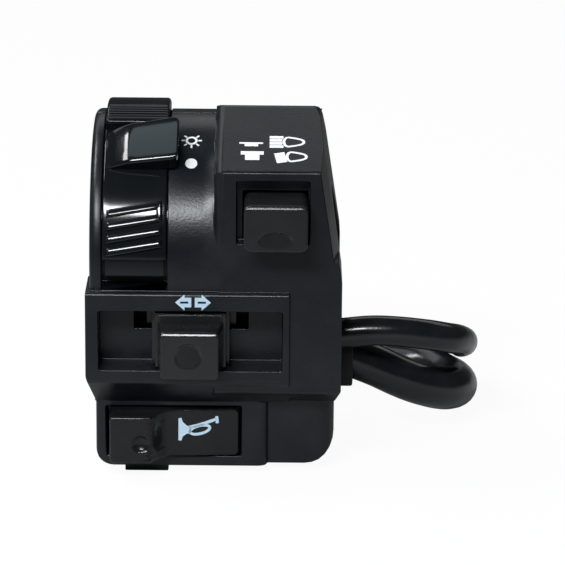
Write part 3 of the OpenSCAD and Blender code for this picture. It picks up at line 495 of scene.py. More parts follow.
@dataclass
class StudioCamera:
    """Camera at the photograph's viewing angle; angles in degrees, lengths in millimetres."""

    target: Triple = (13.7, -21.9, -3.24)
    distance: float = 700.0
    elevation: float = 17.0
    azimuth: float = 0.0
    roll: float = 0.5
    field: float = 113.0
    sensor: float = 36.0
    clip: Pair = (0.01, 20.0)

    def build(self) -> Piece:
        """Makes the camera and sets it on the scene.

        Returns:
            The camera.
        """
        data = bpy.data.cameras.new("photo_camera")
        data.sensor_width = self.sensor
        data.lens = self.sensor * self.distance / self.field
        data.clip_start, data.clip_end = self.clip
        camera = bpy.data.objects.new("photo_camera", data)
        a, e = math.radians(self.azimuth), math.radians(self.elevation)
        back = Vector((math.sin(a) * math.cos(e), -math.cos(a) * math.cos(e), math.sin(e)))
        camera.location = (Vector(self.target) + back * self.distance) * MM
        turn = back.to_track_quat("Z", "Y").to_matrix().to_4x4()
        camera.rotation_euler = turn.to_euler()
        camera.rotation_euler.rotate_axis("Z", math.radians(self.roll))
        bpy.context.scene.collection.objects.link(camera)
        bpy.context.scene.camera = camera
        return camera


@dataclass
class Softbox:
    """One soft lamp: where it hangs and its two sides, in metres, and its power in watts."""

    name: str
    place: Triple
    width: float
    depth: float
    power: float
    colour: Colour = (1.0, 1.0, 1.0)

    def build(self, aim: Vector) -> Piece:
        """Hangs the lamp and turns it to the object.

        Args:
            aim: Point that it faces.

        Returns:
            The lamp.
        """
        data = bpy.data.lights.new(self.name, "AREA")
        data.shape = "RECTANGLE"
        data.size, data.size_y = self.width, self.depth
        data.energy = self.power
        data.color = self.colour
        lamp = bpy.data.objects.new(self.name, data)
        lamp.location = self.place
        lamp.rotation_euler = (aim - Vector(self.place)).to_track_quat("-Z", "Y").to_euler()
        bpy.context.scene.collection.objects.link(lamp)
        return lamp


@dataclass
class Studio:
    """Plain pale floor, soft lamps and a dim grey room."""

    floor_side: float = 6.0
    floor_lines: int = 9
    aim: Triple = (0.004, -0.014, -0.005)
    base: float = -44.0
    paper: float = 0.90
    tooth: float = 900.0
    # Painted pool of light on the floor, seen only by reflections and bounced light: its tone near the object, its tone
    # far away, and the distances over which it fades.
    painted_pool_near: float = 0.5
    painted_pool_far: float = 0.13
    painted_pool_from: float = 0.08
    painted_pool_to: float = 0.24
    white_share: float = 0.945
    glossy_share: float = 0.02
    room: float = 0.05
    lamps: tuple[Softbox, ...] = (
        Softbox("front_key", (-0.21, -0.60, 0.50), 0.44, 0.10, 7.0, (0.95, 0.985, 1.0)),
        Softbox("left_strip", (-0.47, 0.07, 0.64), 0.50, 0.12, 3.2),
        Softbox("left_card", (-0.25, 0.10, 0.75), 0.40, 0.24, 0.45, (0.74, 0.91, 1.0)),
        Softbox("left_side", (-0.78, 0.10, 0.14), 0.06, 0.26, 0.06),
        Softbox("rear_card", (0.0, 0.63, 0.51), 1.2, 0.34, 1.1),
    )

    def build(self) -> None:
        """Lays the floor, hangs the lamps and lights the room."""
        side = np.linspace(-0.5, 0.5, self.floor_lines) * self.floor_side
        x, y = np.meshgrid(side, side)
        points = np.stack([x.ravel(), y.ravel(), np.full(x.size, self.base * MM)], 1)
        floor = put_mesh("studio_floor", points, grid_quads(self.floor_lines, self.floor_lines).tolist())
        floor.data.materials.append(self.floor_material())
        for lamp in self.lamps:
            lamp.build(Vector(self.aim))
        world = bpy.data.worlds.new("studio_room")
        bpy.context.scene.world = world
        world.use_nodes = True
        w = Wiring(world.node_tree)
        light = w.add("ShaderNodeBackground", {"Color": rgba((self.room,) * 3), "Strength": 1.0})
        w.add("ShaderNodeOutputWorld", {"Surface": light.outputs[0]})

    def floor_material(self) -> bpy.types.Material:
        """White paper floor: the camera sees it near white with the object's soft shadow.

        Reflections and bounced light see it dimmer, with a painted pool of light: lighter near the object and darker
        away from it.

        Returns:
            The material.
        """
        made = bpy.data.materials.new("floor_paper")
        made.use_nodes = True
        w = Wiring(made.node_tree)
        place = w.place()
        ray = w.add("ShaderNodeLightPath")
        paper = w.mix(w.noise(place, self.tooth), *(rgba((self.paper * share,) * 3) for share in (0.98, 1.02)))
        # Painted pool of light: for reflections and bounced light the floor is lighter near the object and darker away
        # from it.
        away = w.add("ShaderNodeVectorMath", {0: place}, operation="LENGTH").outputs["Value"]
        painted_pool_fade = w.span(away, self.painted_pool_from, self.painted_pool_to)
        painted_pool = w.mix(painted_pool_fade, rgba((self.painted_pool_near,) * 3), rgba((self.painted_pool_far,) * 3))
        tone = w.mix(ray.outputs["Is Camera Ray"], painted_pool, paper)
        matt = w.add("ShaderNodeBsdfDiffuse", {"Color": tone})
        white = w.add("ShaderNodeEmission", {"Color": (1.0, 1.0, 1.0, 1.0), "Strength": 1.0})
        seen = w.math("MAXIMUM", ray.outputs["Is Glossy Ray"], ray.outputs["Is Transmission Ray"])
        share = w.math("ADD", w.math("MULTIPLY", ray.outputs["Is Camera Ray"], self.white_share),
                       w.math("MULTIPLY", seen, self.glossy_share), clamp=True)
        both = w.add("ShaderNodeMixShader", {0: share, 1: matt.outputs[0], 2: white.outputs[0]})
        w.add("ShaderNodeOutputMaterial", {"Surface": both.outputs[0]})
        return made


@dataclass
class SleevedCord:
    """A sleeved cord: its route points and diameter in millimetres, what it replaces, and what is on it, which is not
    used.
    """

    name: str
    route: Array
    diameter: float
    nodes: tuple[str, ...]
    pieces: tuple[str, ...]
    sides: int = 28
    step: float = 0.9
    tuck: float = 0.15
    waves: tuple[Triple, ...] = ((0.010, 210, 2), (0.006, 530, 3))
    slim: float = 0.014

    def build(self) -> Piece:
        """Makes the tube: a ring carried along the smooth route.

        Ring point k lies at the route's point plus the radius times cos and sin of its angle on the two directions
        square to the route. The radius swells and flattens by about two hundredths in slow waves along the sleeve.
        The first ring is drawn back along the route into the outlet's face, so that the slanting cord leaves no gap.

        Returns:
            The cord, riding on the housing.
        """
        path = smooth_route(self.route * MM, self.step * MM)
        ahead = np.gradient(path, axis=0)
        ahead /= np.linalg.norm(ahead, axis=1)[:, None]
        side = np.cross(np.array([0.0, 0.0, 1.0]), ahead)
        side /= np.linalg.norm(side, axis=1)[:, None]
        over = np.cross(ahead, side)
        angle = np.arange(self.sides) * 2 * math.pi / self.sides
        run = np.linspace(0.0, route_length(path), len(path))
        wave = sum(share * np.sin(run[:, None] * pitch + lobes * angle) for share, pitch, lobes in self.waves)
        radius = 0.5 * self.diameter * MM * (1 + wave - self.slim)
        points = (path[:, None, :] + radius[..., None] * (np.cos(angle)[None, :, None] * side[:, None, :]
                                                          + np.sin(angle)[None, :, None] * over[:, None, :]))
        proud = np.maximum(points[0, :, :1] - path[0, 0] + self.tuck * MM, 0.0)
        points[0] -= proud * ahead[0] / ahead[0, 0]
        cord = put_mesh(self.name, points.reshape(-1, 3), tube_faces(len(path), self.sides), sharp=60.0)
        self.map(cord, run)
        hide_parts(*self.nodes)
        dress(cord, SLEEVE, "housing")
        return cord

    def map(self, cord: Piece, run: Array) -> None:
        """Gives each corner its place round the sleeve and along it.

        Args:
            cord: The tube.
            run: Distance along the route of each ring.
        """
        mesh = cord.data
        layer = mesh.uv_layers.new(name="sleeve")
        corner, starts, counts = (np.zeros(len(rows), np.int32) for rows in (mesh.loops, mesh.polygons, mesh.polygons))
        mesh.loops.foreach_get("vertex_index", corner)
        mesh.polygons.foreach_get("loop_start", starts)
        mesh.polygons.foreach_get("loop_total", counts)
        turn = (corner % self.sides) / self.sides
        first = np.repeat(turn[starts], counts)
        turn = np.where(turn - first > 0.5, turn - 1.0, np.where(first - turn > 0.5, turn + 1.0, turn))
        layer.data.foreach_set("uv", np.stack([turn, run[corner // self.sides]], 1).astype(np.float32).ravel())


class Loom:
    """The two sleeved cords, their fold behind the housing, the tie and the connectors."""

    base: float = -44.0
    tie: float = 0.8
    upper: float = 6.4
    lower: float = 9.0
    fold_at: float = 146.0
    fold_radius: float = 18.5

    def routes(self) -> tuple[Array, Array]:
        """Route points of the upper and the lower cord in millimetres, as in the CAD frame."""
        u = self.base + self.tie + self.upper / 2
        v = self.base + self.tie + self.lower / 2
        upper = np.array([
            (25.8, -5, -19.2), (32, -5, -18.6), (38, -4.8, -18.8), (43.4, -3.6, -19.8), (47.8, -0.6, -21.4),
            (50.6, 5, -23.6), (51.8, 12, -26.2), (52, 20, -29), (51.2, 28, -31), (48.8, 35.6, -33.2),
            (44.4, 42, -36.2), (38, 46, -38.8), (31, 47.6, u), (24, 48.2, u), (16.5, 50, u), (9.6, 54.2, u),
            (4.4, 60.4, u), (1.2, 68, u), (0.2, 77, u), (0, 88, u), (0, 100, u), (0, 110, u), (0, 120, u), (0, 130, u)])
        first = [
            (28.4, 1.5, -26.2), (33, 1.8, -28.2), (38, 2.6, -30.8), (43, 4.2, -33.2), (47.2, 7.6, -35.2),
            (50, 12.4, -36.6), (51, 18, -37.6), (50.2, 23.6, -38.3), (47.8, 28.6, -38.6), (44, 32.6, v), (39, 35.2, v),
            (33, 36.8, v), (26, 37.5, v), (19, 37.8, v), (12, 38.2, v), (5, 39.2, v), (-4, 42, v), (-11.4, 47.6, v),
            (-16.4, 55.4, v), (-18, 64, v), (-18, 68, v), (-16.6, 78, v), (-12.6, 90, v), (-9.2, 100, v),
            (-8.3, 110, v), (-9.2, 120, v), (-13, 130, v), (-17, 139, v)]
        turn = np.radians(np.arange(180, -1, -15))
        arc = np.stack([self.fold_radius * np.cos(turn), self.fold_at + self.fold_radius * np.sin(turn),
                        np.full(turn.size, v)], 1)
        last = [(17, 139, v), (13, 130, v), (9.2, 120, v), (8.3, 110, v), (9, 101, v), (11.6, 93, v), (14.2, 86, v),
                (14.4, 82, v)]
        return upper, np.concatenate([first, arc, last])

    def build(self) -> None:
        """Makes the cords and dresses what is on them."""
        upper, lower = self.routes()
        SleevedCord("upper_cord", upper, self.upper, ("upper_sleeve",), ("upper_connector",)).build()
        SleevedCord("lower_cord", lower, self.lower, ("lower_sleeve", "lower_hank"),
                    ("lower_connector", "cord_tie")).build()
        for node, slot, finish, edge in (("cord_tie", "tie_nylon", TIE, 0.15),
                                         ("upper_connector", "plug_nylon", PLUG, 0.35),
                                         ("lower_connector", "plug_nylon", PLUG, 0.4),
                                         ("grommet", "grommet_rubber", GROMMET, 0.4)):
            Moulding(node, "housing", slot, finish, edge).build()


@dataclass
class Moulding:
    """A CAD node dressed as a moulding: a merged copy of its solid with smooth faces and rounded edges.

    Attributes:
        node: CAD node that it stands for.
        body: Body that it rides on.
        slot: Material slot of the record; not used.
        finish: Its finish.
        edge: Rounding of its edges in millimetres.
        sharp: Edges that turn by more than this many degrees are rounded.
        segments: Faces across a rounding.
        front: Where set, only what lies behind this Y in millimetres is kept, closed by a flat face.
        reach: Where set, what lies further from the bar's axis is drawn in to this radius, under a cover of its own.
        stray: Furthest that a rounded point may lie from a corner, in roundings.
        crease: Angle in degrees from which an edge stays sharp after the rounding.
        merge: Points of the solid nearer than this, in metres, are one.
        flat: Faces that turn by less than this many degrees are one.
    """

    node: str
    body: str
    slot: str
    finish: Finish
    edge: float = 0.25
    sharp: float = 30.0
    segments: int = 2
    front: float | None = None
    reach: float | None = None
    stray: float = 2.6
    crease: float = 60.0
    merge: float = 2e-6
    flat: float = 0.4

    def draw_in(self, mesh: bpy.types.Mesh, side: float = -9.5) -> None:
        """Draws in the points beyond the reach: each keeps its angle and gets the reach as its radius.

        Args:
            mesh: Mesh to change.
            side: X in millimetres that the points drawn in don't pass.
        """
        at = self.places(mesh)
        out = np.hypot(at[:, 1], at[:, 2])
        far = out > self.reach * MM
        at[far, 1:] *= (self.reach * MM / out[far])[:, None]
        at[far, 0] = np.minimum(at[far, 0], side * MM)
        mesh.vertices.foreach_set("co", at.ravel())

    def round_edges(self, piece: Piece) -> None:
        """Rounds the sharp edges and sets back the few points that the rounding throws out of place.

        A rounded point belongs to a corner of the solid, so one that lies further than the limit from every corner is
        set back to the middle of its neighbours that lie well. Normals lean to the larger faces, so that flat walls
        stay flat, and don't cross edges sharper than the crease.

        Args:
            piece: The moulding.
        """
        corners = self.places(piece.data)
        rounding = piece.modifiers.new("rounded_edges", "BEVEL")
        rounding.width, rounding.segments = self.edge * MM, self.segments
        rounding.limit_method, rounding.angle_limit = "ANGLE", math.radians(self.sharp)
        rounding.use_clamp_overlap = False
        rounding.miter_outer = "MITER_ARC"
        rounded = bpy.data.meshes.new_from_object(piece.evaluated_get(bpy.context.evaluated_depsgraph_get()))
        piece.modifiers.clear()
        plain, piece.data = piece.data, rounded
        rounded.name = plain.name
        bpy.data.meshes.remove(plain)
        at = self.places(rounded)
        near = np.concatenate([np.linalg.norm(part[:, None] - corners[None], axis=2).min(1)
                               for part in np.array_split(at, len(at) // 400 + 1)])
        stray = near > self.stray * self.edge * MM
        ends = np.zeros(2 * len(rounded.edges), np.int32)
        rounded.edges.foreach_get("vertices", ends)
        ends = np.concatenate([ends.reshape(-1, 2), ends.reshape(-1, 2)[:, ::-1]])
        ends = ends[stray[ends[:, 0]] & ~stray[ends[:, 1]]]
        total, count = np.zeros_like(at), np.zeros(len(at))
        np.add.at(total, ends[:, 0], at[ends[:, 1]])
        np.add.at(count, ends[:, 0], 1.0)
        held = count > 0
        at[held] = total[held] / count[held, None]
        rounded.vertices.foreach_set("co", at.ravel())
        rounded.update()
        rounded.set_sharp_from_angle(angle=math.radians(self.crease))
        even = piece.modifiers.new("even_normals", "WEIGHTED_NORMAL")
        even.mode, even.keep_sharp = "FACE_AREA_WITH_ANGLE", True
        LOG.info("%s: %d points set back", piece.name, int(held.sum()))

    @staticmethod
    def places(mesh: bpy.types.Mesh) -> Array:
        """Vertex places of a mesh, one row each."""
        at = np.zeros(3 * len(mesh.vertices))
        mesh.vertices.foreach_get("co", at)
        return at.reshape(-1, 3)

    def build(self) -> Piece:
        """Copies the node's mesh, merges it, rounds its edges and dresses it.

        Returns:
            The moulding, riding on its body in the node's place.
        """
        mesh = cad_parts[self.node].data.copy()
        mesh.name = f"{self.node}_moulding"
        mesh.materials.clear()
        work = bmesh.new()
        work.from_mesh(mesh)
        bmesh.ops.remove_doubles(work, verts=work.verts, dist=self.merge)
        if self.front is not None:
            cut = bmesh.ops.bisect_plane(work, geom=work.verts[:] + work.edges[:] + work.faces[:],
                                         plane_co=(0, self.front * MM, 0), plane_no=(0, -1, 0), clear_outer=True)
            bmesh.ops.contextual_create(work, geom=[e for e in cut["geom_cut"] if isinstance(e, bmesh.types.BMEdge)])
        bmesh.ops.dissolve_limit(work, angle_limit=math.radians(self.flat), verts=work.verts, edges=work.edges)
        work.to_mesh(mesh)
        work.free()
        for layer in ("custom_normal", "sharp_face", "sharp_edge"):
            if layer in mesh.attributes:
                mesh.attributes.remove(mesh.attributes[layer])
        mesh.polygons.foreach_set("use_smooth", np.ones(len(mesh.polygons), bool))
        mesh.set_sharp_from_angle(angle=math.radians(self.sharp))
        if self.reach is not None:
            self.draw_in(mesh)
        piece = bpy.data.objects.new(mesh.name, mesh)
        bpy.context.scene.collection.objects.link(piece)
        if self.edge > 0:
            self.round_edges(piece)
        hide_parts(self.node)
        return dress(piece, self.finish, self.body)


def rounded_ring(half_x: Array, half_z: Array, corner: Array) -> Array:
    """Rings of rounded rectangles, one row for each size.

    Each corner is a quarter circle about its own centre, and each side a straight run between two corners.

    Args:
        half_x: Half widths.
        half_z: Half heights.
        corner: Corner radii.

    Returns:
        An array of rows, points on a ring, and (x, z).
    """
    turn = np.radians(np.linspace(0.0, 90.0, CORNER_POINTS))
    parts = []
    for quarter, (sx, sz) in enumerate(((1, 1), (-1, 1), (-1, -1), (1, -1))):
        angle = turn + quarter * math.pi / 2
        centre = np.stack([sx * (half_x - corner), sz * (half_z - corner)], -1)
        parts.append(centre[:, None] + corner[:, None, None] * np.stack([np.cos(angle), np.sin(angle)], -1))
    run = np.linspace(0.0, 1.0, SIDE_POINTS)[1:-1, None]
    sides = [a[:, -1:] + run * (b[:, :1] - a[:, -1:]) for a, b in zip(parts, parts[1:] + parts[:1])]
    return np.concatenate([x for pair in zip(parts, sides) for x in pair], 1)


def upright(u: Array, y: Array, s: Array) -> Array:
    """Carrier of the buttons: u along X, s up Z and y along Y."""
    return np.stack([u, y, s], -1)


@dataclass
class ButtonCap:
    """The front of a pressed or pushed piece: a rounded rectangle with softened edges and a shaped face.

    Attributes:
        name: Name of the piece.
        centre: Middle (u, s) of the face.
        half: Half width and half height of the face.
        corner: Corner radius of the face.
        edge: Radius that runs round the face's edge.
        face: Y of the face at (u, s).
        back: Y of the back at (u, s).
        spread: Growth of the half sizes (u, s) from the face to the back.
        carrier: Places (u, y, s) in the frame.
        bends: Rows round the edge.
        rows: Rows over the face.
        middle: Size of the innermost row, as a share of the outline.
        wall: Places of the wall's rows, as shares of the way from the edge to the back.
    """

    name: str
    centre: Pair
    half: Pair
    corner: float
    edge: float
    face: Callable[[Array, Array], Array]
    back: Callable[[Array, Array], Array]
    spread: Pair = (0.0, 0.0)
    carrier: Carrier = upright
    bends: int = 7
    rows: int = 34
    middle: float = 0.012
    wall: Pair = (0.6, 0.1)

    def build(self, body: str, slot: str, finish: Finish) -> Piece:
        """Makes the cap.

        Rows run from the middle of the back outwards, along the wall, round the edge as a quarter circle, and then
        inwards over the face, where each row is the face's outline shrunk towards the middle. Y comes from the
        functions of the face and the back.

        Args:
            body: Body that it rides on.
            slot: Material slot of the record; not used.
            finish: Its finish.

        Returns:
            The cap.
        """
        bend = np.radians(np.linspace(0.0, 90.0, self.bends))
        inset, depth = self.edge * (1 - np.cos(bend)), self.edge * (1 - np.sin(bend))
        rim = rounded_ring(self.half[0] - inset, self.half[1] - inset, np.maximum(self.corner - inset, 0.05))
        foot = rounded_ring(*(np.array([v]) for v in (self.half[0] + self.spread[0], self.half[1] + self.spread[1],
                                                      self.corner)))
        shrink = np.linspace(1.0, self.middle, self.rows)[:, None, None]
        middle = np.array(self.centre)
        under, over = shrink[::-3] * foot + middle, shrink[1:] * rim[-1:] + middle
        wall = np.array(self.wall)[:, None, None] * (foot - rim[:1]) + rim[:1] + middle
        rim = rim + middle
        edge = self.face(rim[..., 0], rim[..., 1]) + depth[:, None]
        below = self.back(under[..., 0], under[..., 1])
        side = edge[:1] + np.array(self.wall)[:, None] * (below[-1:] - edge[:1])
        flat = np.concatenate([under, wall, rim, over])
        y = np.concatenate([below, side, edge, self.face(over[..., 0], over[..., 1])])
        points = self.carrier(flat[..., 0], y, flat[..., 1])
        cap = put_mesh(self.name, points.reshape(-1, 3) * MM, tube_faces(*y.shape), sharp=45.0)
        return dress(cap, finish, body)


@dataclass
class ArcShell:
    """A cover that follows the barrel: a profile across X carried round the bar's axis.

    Attributes:
        name: Name of the piece.
        across: First and last X.
        angle: First and last angle in degrees, from the front upwards.
        top: Radius of the outside at (X, angle).
        foot: Radius of the inside.
        edge: Rounding of its four edges.
        step: Turn from one profile to the next in degrees.
        bends: Points across a rounding.
        columns: Even points across, of which the outer ones give way to the roundings.
        outer: How many give way on each side.
    """

    name: str
    across: Pair
    angle: Pair
    top: Callable[[Array, Array], Array]
    foot: float
    edge: float
    step: float = 0.75
    bends: int = 8
    columns: int = 26
    outer: int = 3

    def build(self, body: str, slot: str, finish: Finish) -> Piece:
        """Makes the cover.

        Near an edge the outside falls by edge - sqrt(edge^2 - q^2), where q is how far a point lies in the rounding.

        Args:
            body: Body that it rides on.
            slot: Material slot of the record; not used.
            finish: Its finish.

        Returns:
            The cover.
        """
        bend = self.edge * (1 - np.cos(np.radians(np.linspace(0.0, 90.0, self.bends))))
        x0, x1 = self.across
        x = np.concatenate([x0 + bend, np.linspace(x0, x1, self.columns)[self.outer:-self.outer], x1 - bend[::-1]])
        a0, a1 = self.angle
        turn = bend / self.top(np.array(x.mean()), np.array(a0)) * 180 / math.pi
        inner = np.arange(a0 + turn[-1], a1 - turn[-1], self.step)[1:]
        angle = np.concatenate([a0 + turn, inner, a1 - turn[::-1]])
        grid_x, grid_a = np.meshgrid(x, angle)
        out = self.top(grid_x, grid_a)
        near_x = np.minimum(grid_x - x0, x1 - grid_x)
        near_a = np.minimum(grid_a - a0, a1 - grid_a) * math.pi / 180 * out
        q = np.hypot(np.maximum(self.edge - near_x, 0.0), np.maximum(self.edge - near_a, 0.0))
        out = out - self.edge + np.sqrt(np.maximum(self.edge ** 2 - np.minimum(q, self.edge) ** 2, 0.0))
        foot = np.full((len(angle), 1), self.foot)
        out = np.concatenate([foot, out, foot], 1)
        grid_x = np.concatenate([grid_x[:, :1], grid_x, grid_x[:, -1:]], 1)
        points = on_cylinder(grid_x, out, np.radians(angle)[:, None])
        cover = put_mesh(self.name, points.reshape(-1, 3) * MM, tube_faces(*out.shape), sharp=40.0)
        return dress(cover, finish, body)


def on_cylinder(x: Array, out: Array, angle: Array) -> Array:
    """Places at a radius and an angle about the bar's axis, the angle counted from the front upwards."""
    return np.stack([x, -out * np.cos(angle), out * np.sin(angle)], -1)


def top_facet(s: Array, top: float, tall: float, lean: float = 0.53) -> Array:
    """How far a face falls back over the narrow facet along its upper edge: lean times the height over its foot."""
    return lean * np.maximum(s - (top - tall), 0.0)


def smooth_step(t: Array) -> Array:
    """Rises from 0 to 1 as t does, level at both ends: t^2 (3 - 2 t)."""
    t = np.clip(t, 0.0, 1.0)
    return t * t * (3 - 2 * t)


def oval(x: Array, z: Array, centre: Pair, half: Pair) -> Array:
    """Squared distance from an oval's centre in half sizes, 1 at its edge."""
    return ((x - centre[0]) / half[0]) ** 2 + ((z - centre[1]) / half[1]) ** 2


def scoop(x: Array, z: Array, centre: Pair, half: Pair, lean: float) -> Array:
    """Depth of an oval scoop that runs out at its lower edge and is deepest under its upper one.

    Over its foot the depth grows by lean times the height, and a smooth step takes it to nothing at the oval's edge.
    """
    inside = smooth_step((1 - oval(x, z, centre, half)) / SCOOP_EDGE)
    return lean * np.maximum(z - centre[1] + half[1], 0.0) * inside


def dish(x: Array, z: Array, centre: Pair, half: Pair, depth: float,
         power: float = 0.7) -> Array:
    """Depth of an oval finger dish: depth times (1 - q)^power, where q is the squared distance in half sizes."""
    return depth * np.clip(1 - oval(x, z, centre, half), 0.0, 1.0) ** power


@dataclass
class PrintedSign:
    """A printed sign: strokes and filled shapes on a carrier surface, as one thin raised film of ink.

    Places are millimetres along the surface; the film's top stands `proud` over it and its foot lies `sunk` in it.
    """

    name: str
    body: str
    ink: Finish
    carrier: Carrier
    proud: float = 0.05
    sunk: float = 0.03
    points: list[Array] = field(default_factory=list)
    faces: list[list[int]] = field(default_factory=list)
    count: int = 0

    def put(self, rails: Array, faces: list[list[int]]) -> None:
        """Adds points (u, s, h) and faces numbered from the first of them."""
        self.points.append(rails)
        self.faces += [[self.count + k for k in face] for face in faces]
        self.count += len(rails)

    def stroke(self, path: Array, width: float, closed: bool = False) -> None:
        """Adds a stroke: a flat bar's profile carried along a path.

        The two sides lie half the width left and right of the path, square to its direction.

        Args:
            path: Points (u, s) of the stroke's middle.
            width: Width of the stroke.
            closed: Whether the last point joins the first.
        """
        ahead = np.roll(path, -1, 0) - np.roll(path, 1, 0) if closed else np.gradient(path, axis=0)
        ahead = ahead / np.linalg.norm(ahead, axis=1)[:, None]
        left = np.stack([-ahead[:, 1], ahead[:, 0]], 1) * width / 2
        n = len(path)
        corners = ((1, self.proud), (1, -self.sunk), (-1, -self.sunk), (-1, self.proud))
        rails = np.stack([np.column_stack([path + side * left, np.full(n, high)]) for side, high in corners], 1)
        faces = grid_quads(n, 4, wrap_rows=True, wrap_cols=True).tolist() if closed else tube_faces(n, 4)
        self.put(rails.reshape(-1, 3), faces)

    def fill(self, outline: Array) -> None:
        """Adds a filled shape: its outline at the film's foot and top, joined by a wall and closed by two lids.

        Args:
            outline: Points (u, s), anticlockwise seen from outside.
        """
        n = len(outline)
        rails = [np.column_stack([outline, np.full(n, high)]) for high in (-self.sunk, self.proud)]
        self.put(np.concatenate(rails), tube_faces(2, n))

    def build(self) -> Piece:
        """Lays the film on its carrier and dresses it.

        Returns:
            The sign, riding on its body.
        """
        flat = np.concatenate(self.points)
        return dress(put_mesh(self.name, self.carrier(*flat.T) * MM, self.faces), self.ink, self.body)


def ring(centre: Pair, a: float, b: float, count: int = 40, tilt: float = 0.0) -> Array:
    """Points of an ellipse: centre plus a cos t and b sin t, turned by tilt degrees."""
    t = np.arange(count) * 2 * math.pi / count
    x, y = a * np.cos(t), b * np.sin(t)
    c, s = math.cos(math.radians(tilt)), math.sin(math.radians(tilt))
    return np.stack([centre[0] + c * x - s * y, centre[1] + s * x + c * y], 1)


def lamp_outline(left: float, right: float, middle: float, half: float) -> Array:
    """Outline of a headlamp: a shallow arc on the left, and two curves that meet in a blunt point on the right.

    For t from -1 to 1 the height is half * t; the right side lies at (1 - |t|^2.8) of the length from the widest
    place, and the left side at the square root of 1 - t^2 of a short depth.

    Args:
        left: Left end.
        right: Right end.
        middle: Height of the middle.
        half: Half of the height.

    Returns:
        A closed chain of points, anticlockwise.
    """
    t = np.linspace(-1.0, 1.0, 25)
    wide = left + 0.22 * (right - left)
    out = np.stack([wide + (right - wide) * (1 - np.abs(t) ** 2.8), middle + half * t], 1)
    back = np.stack([wide - (wide - left) * np.sqrt(1 - t ** 2), middle + half * t], 1)[::-1][1:-1]
    return np.concatenate([out, back])


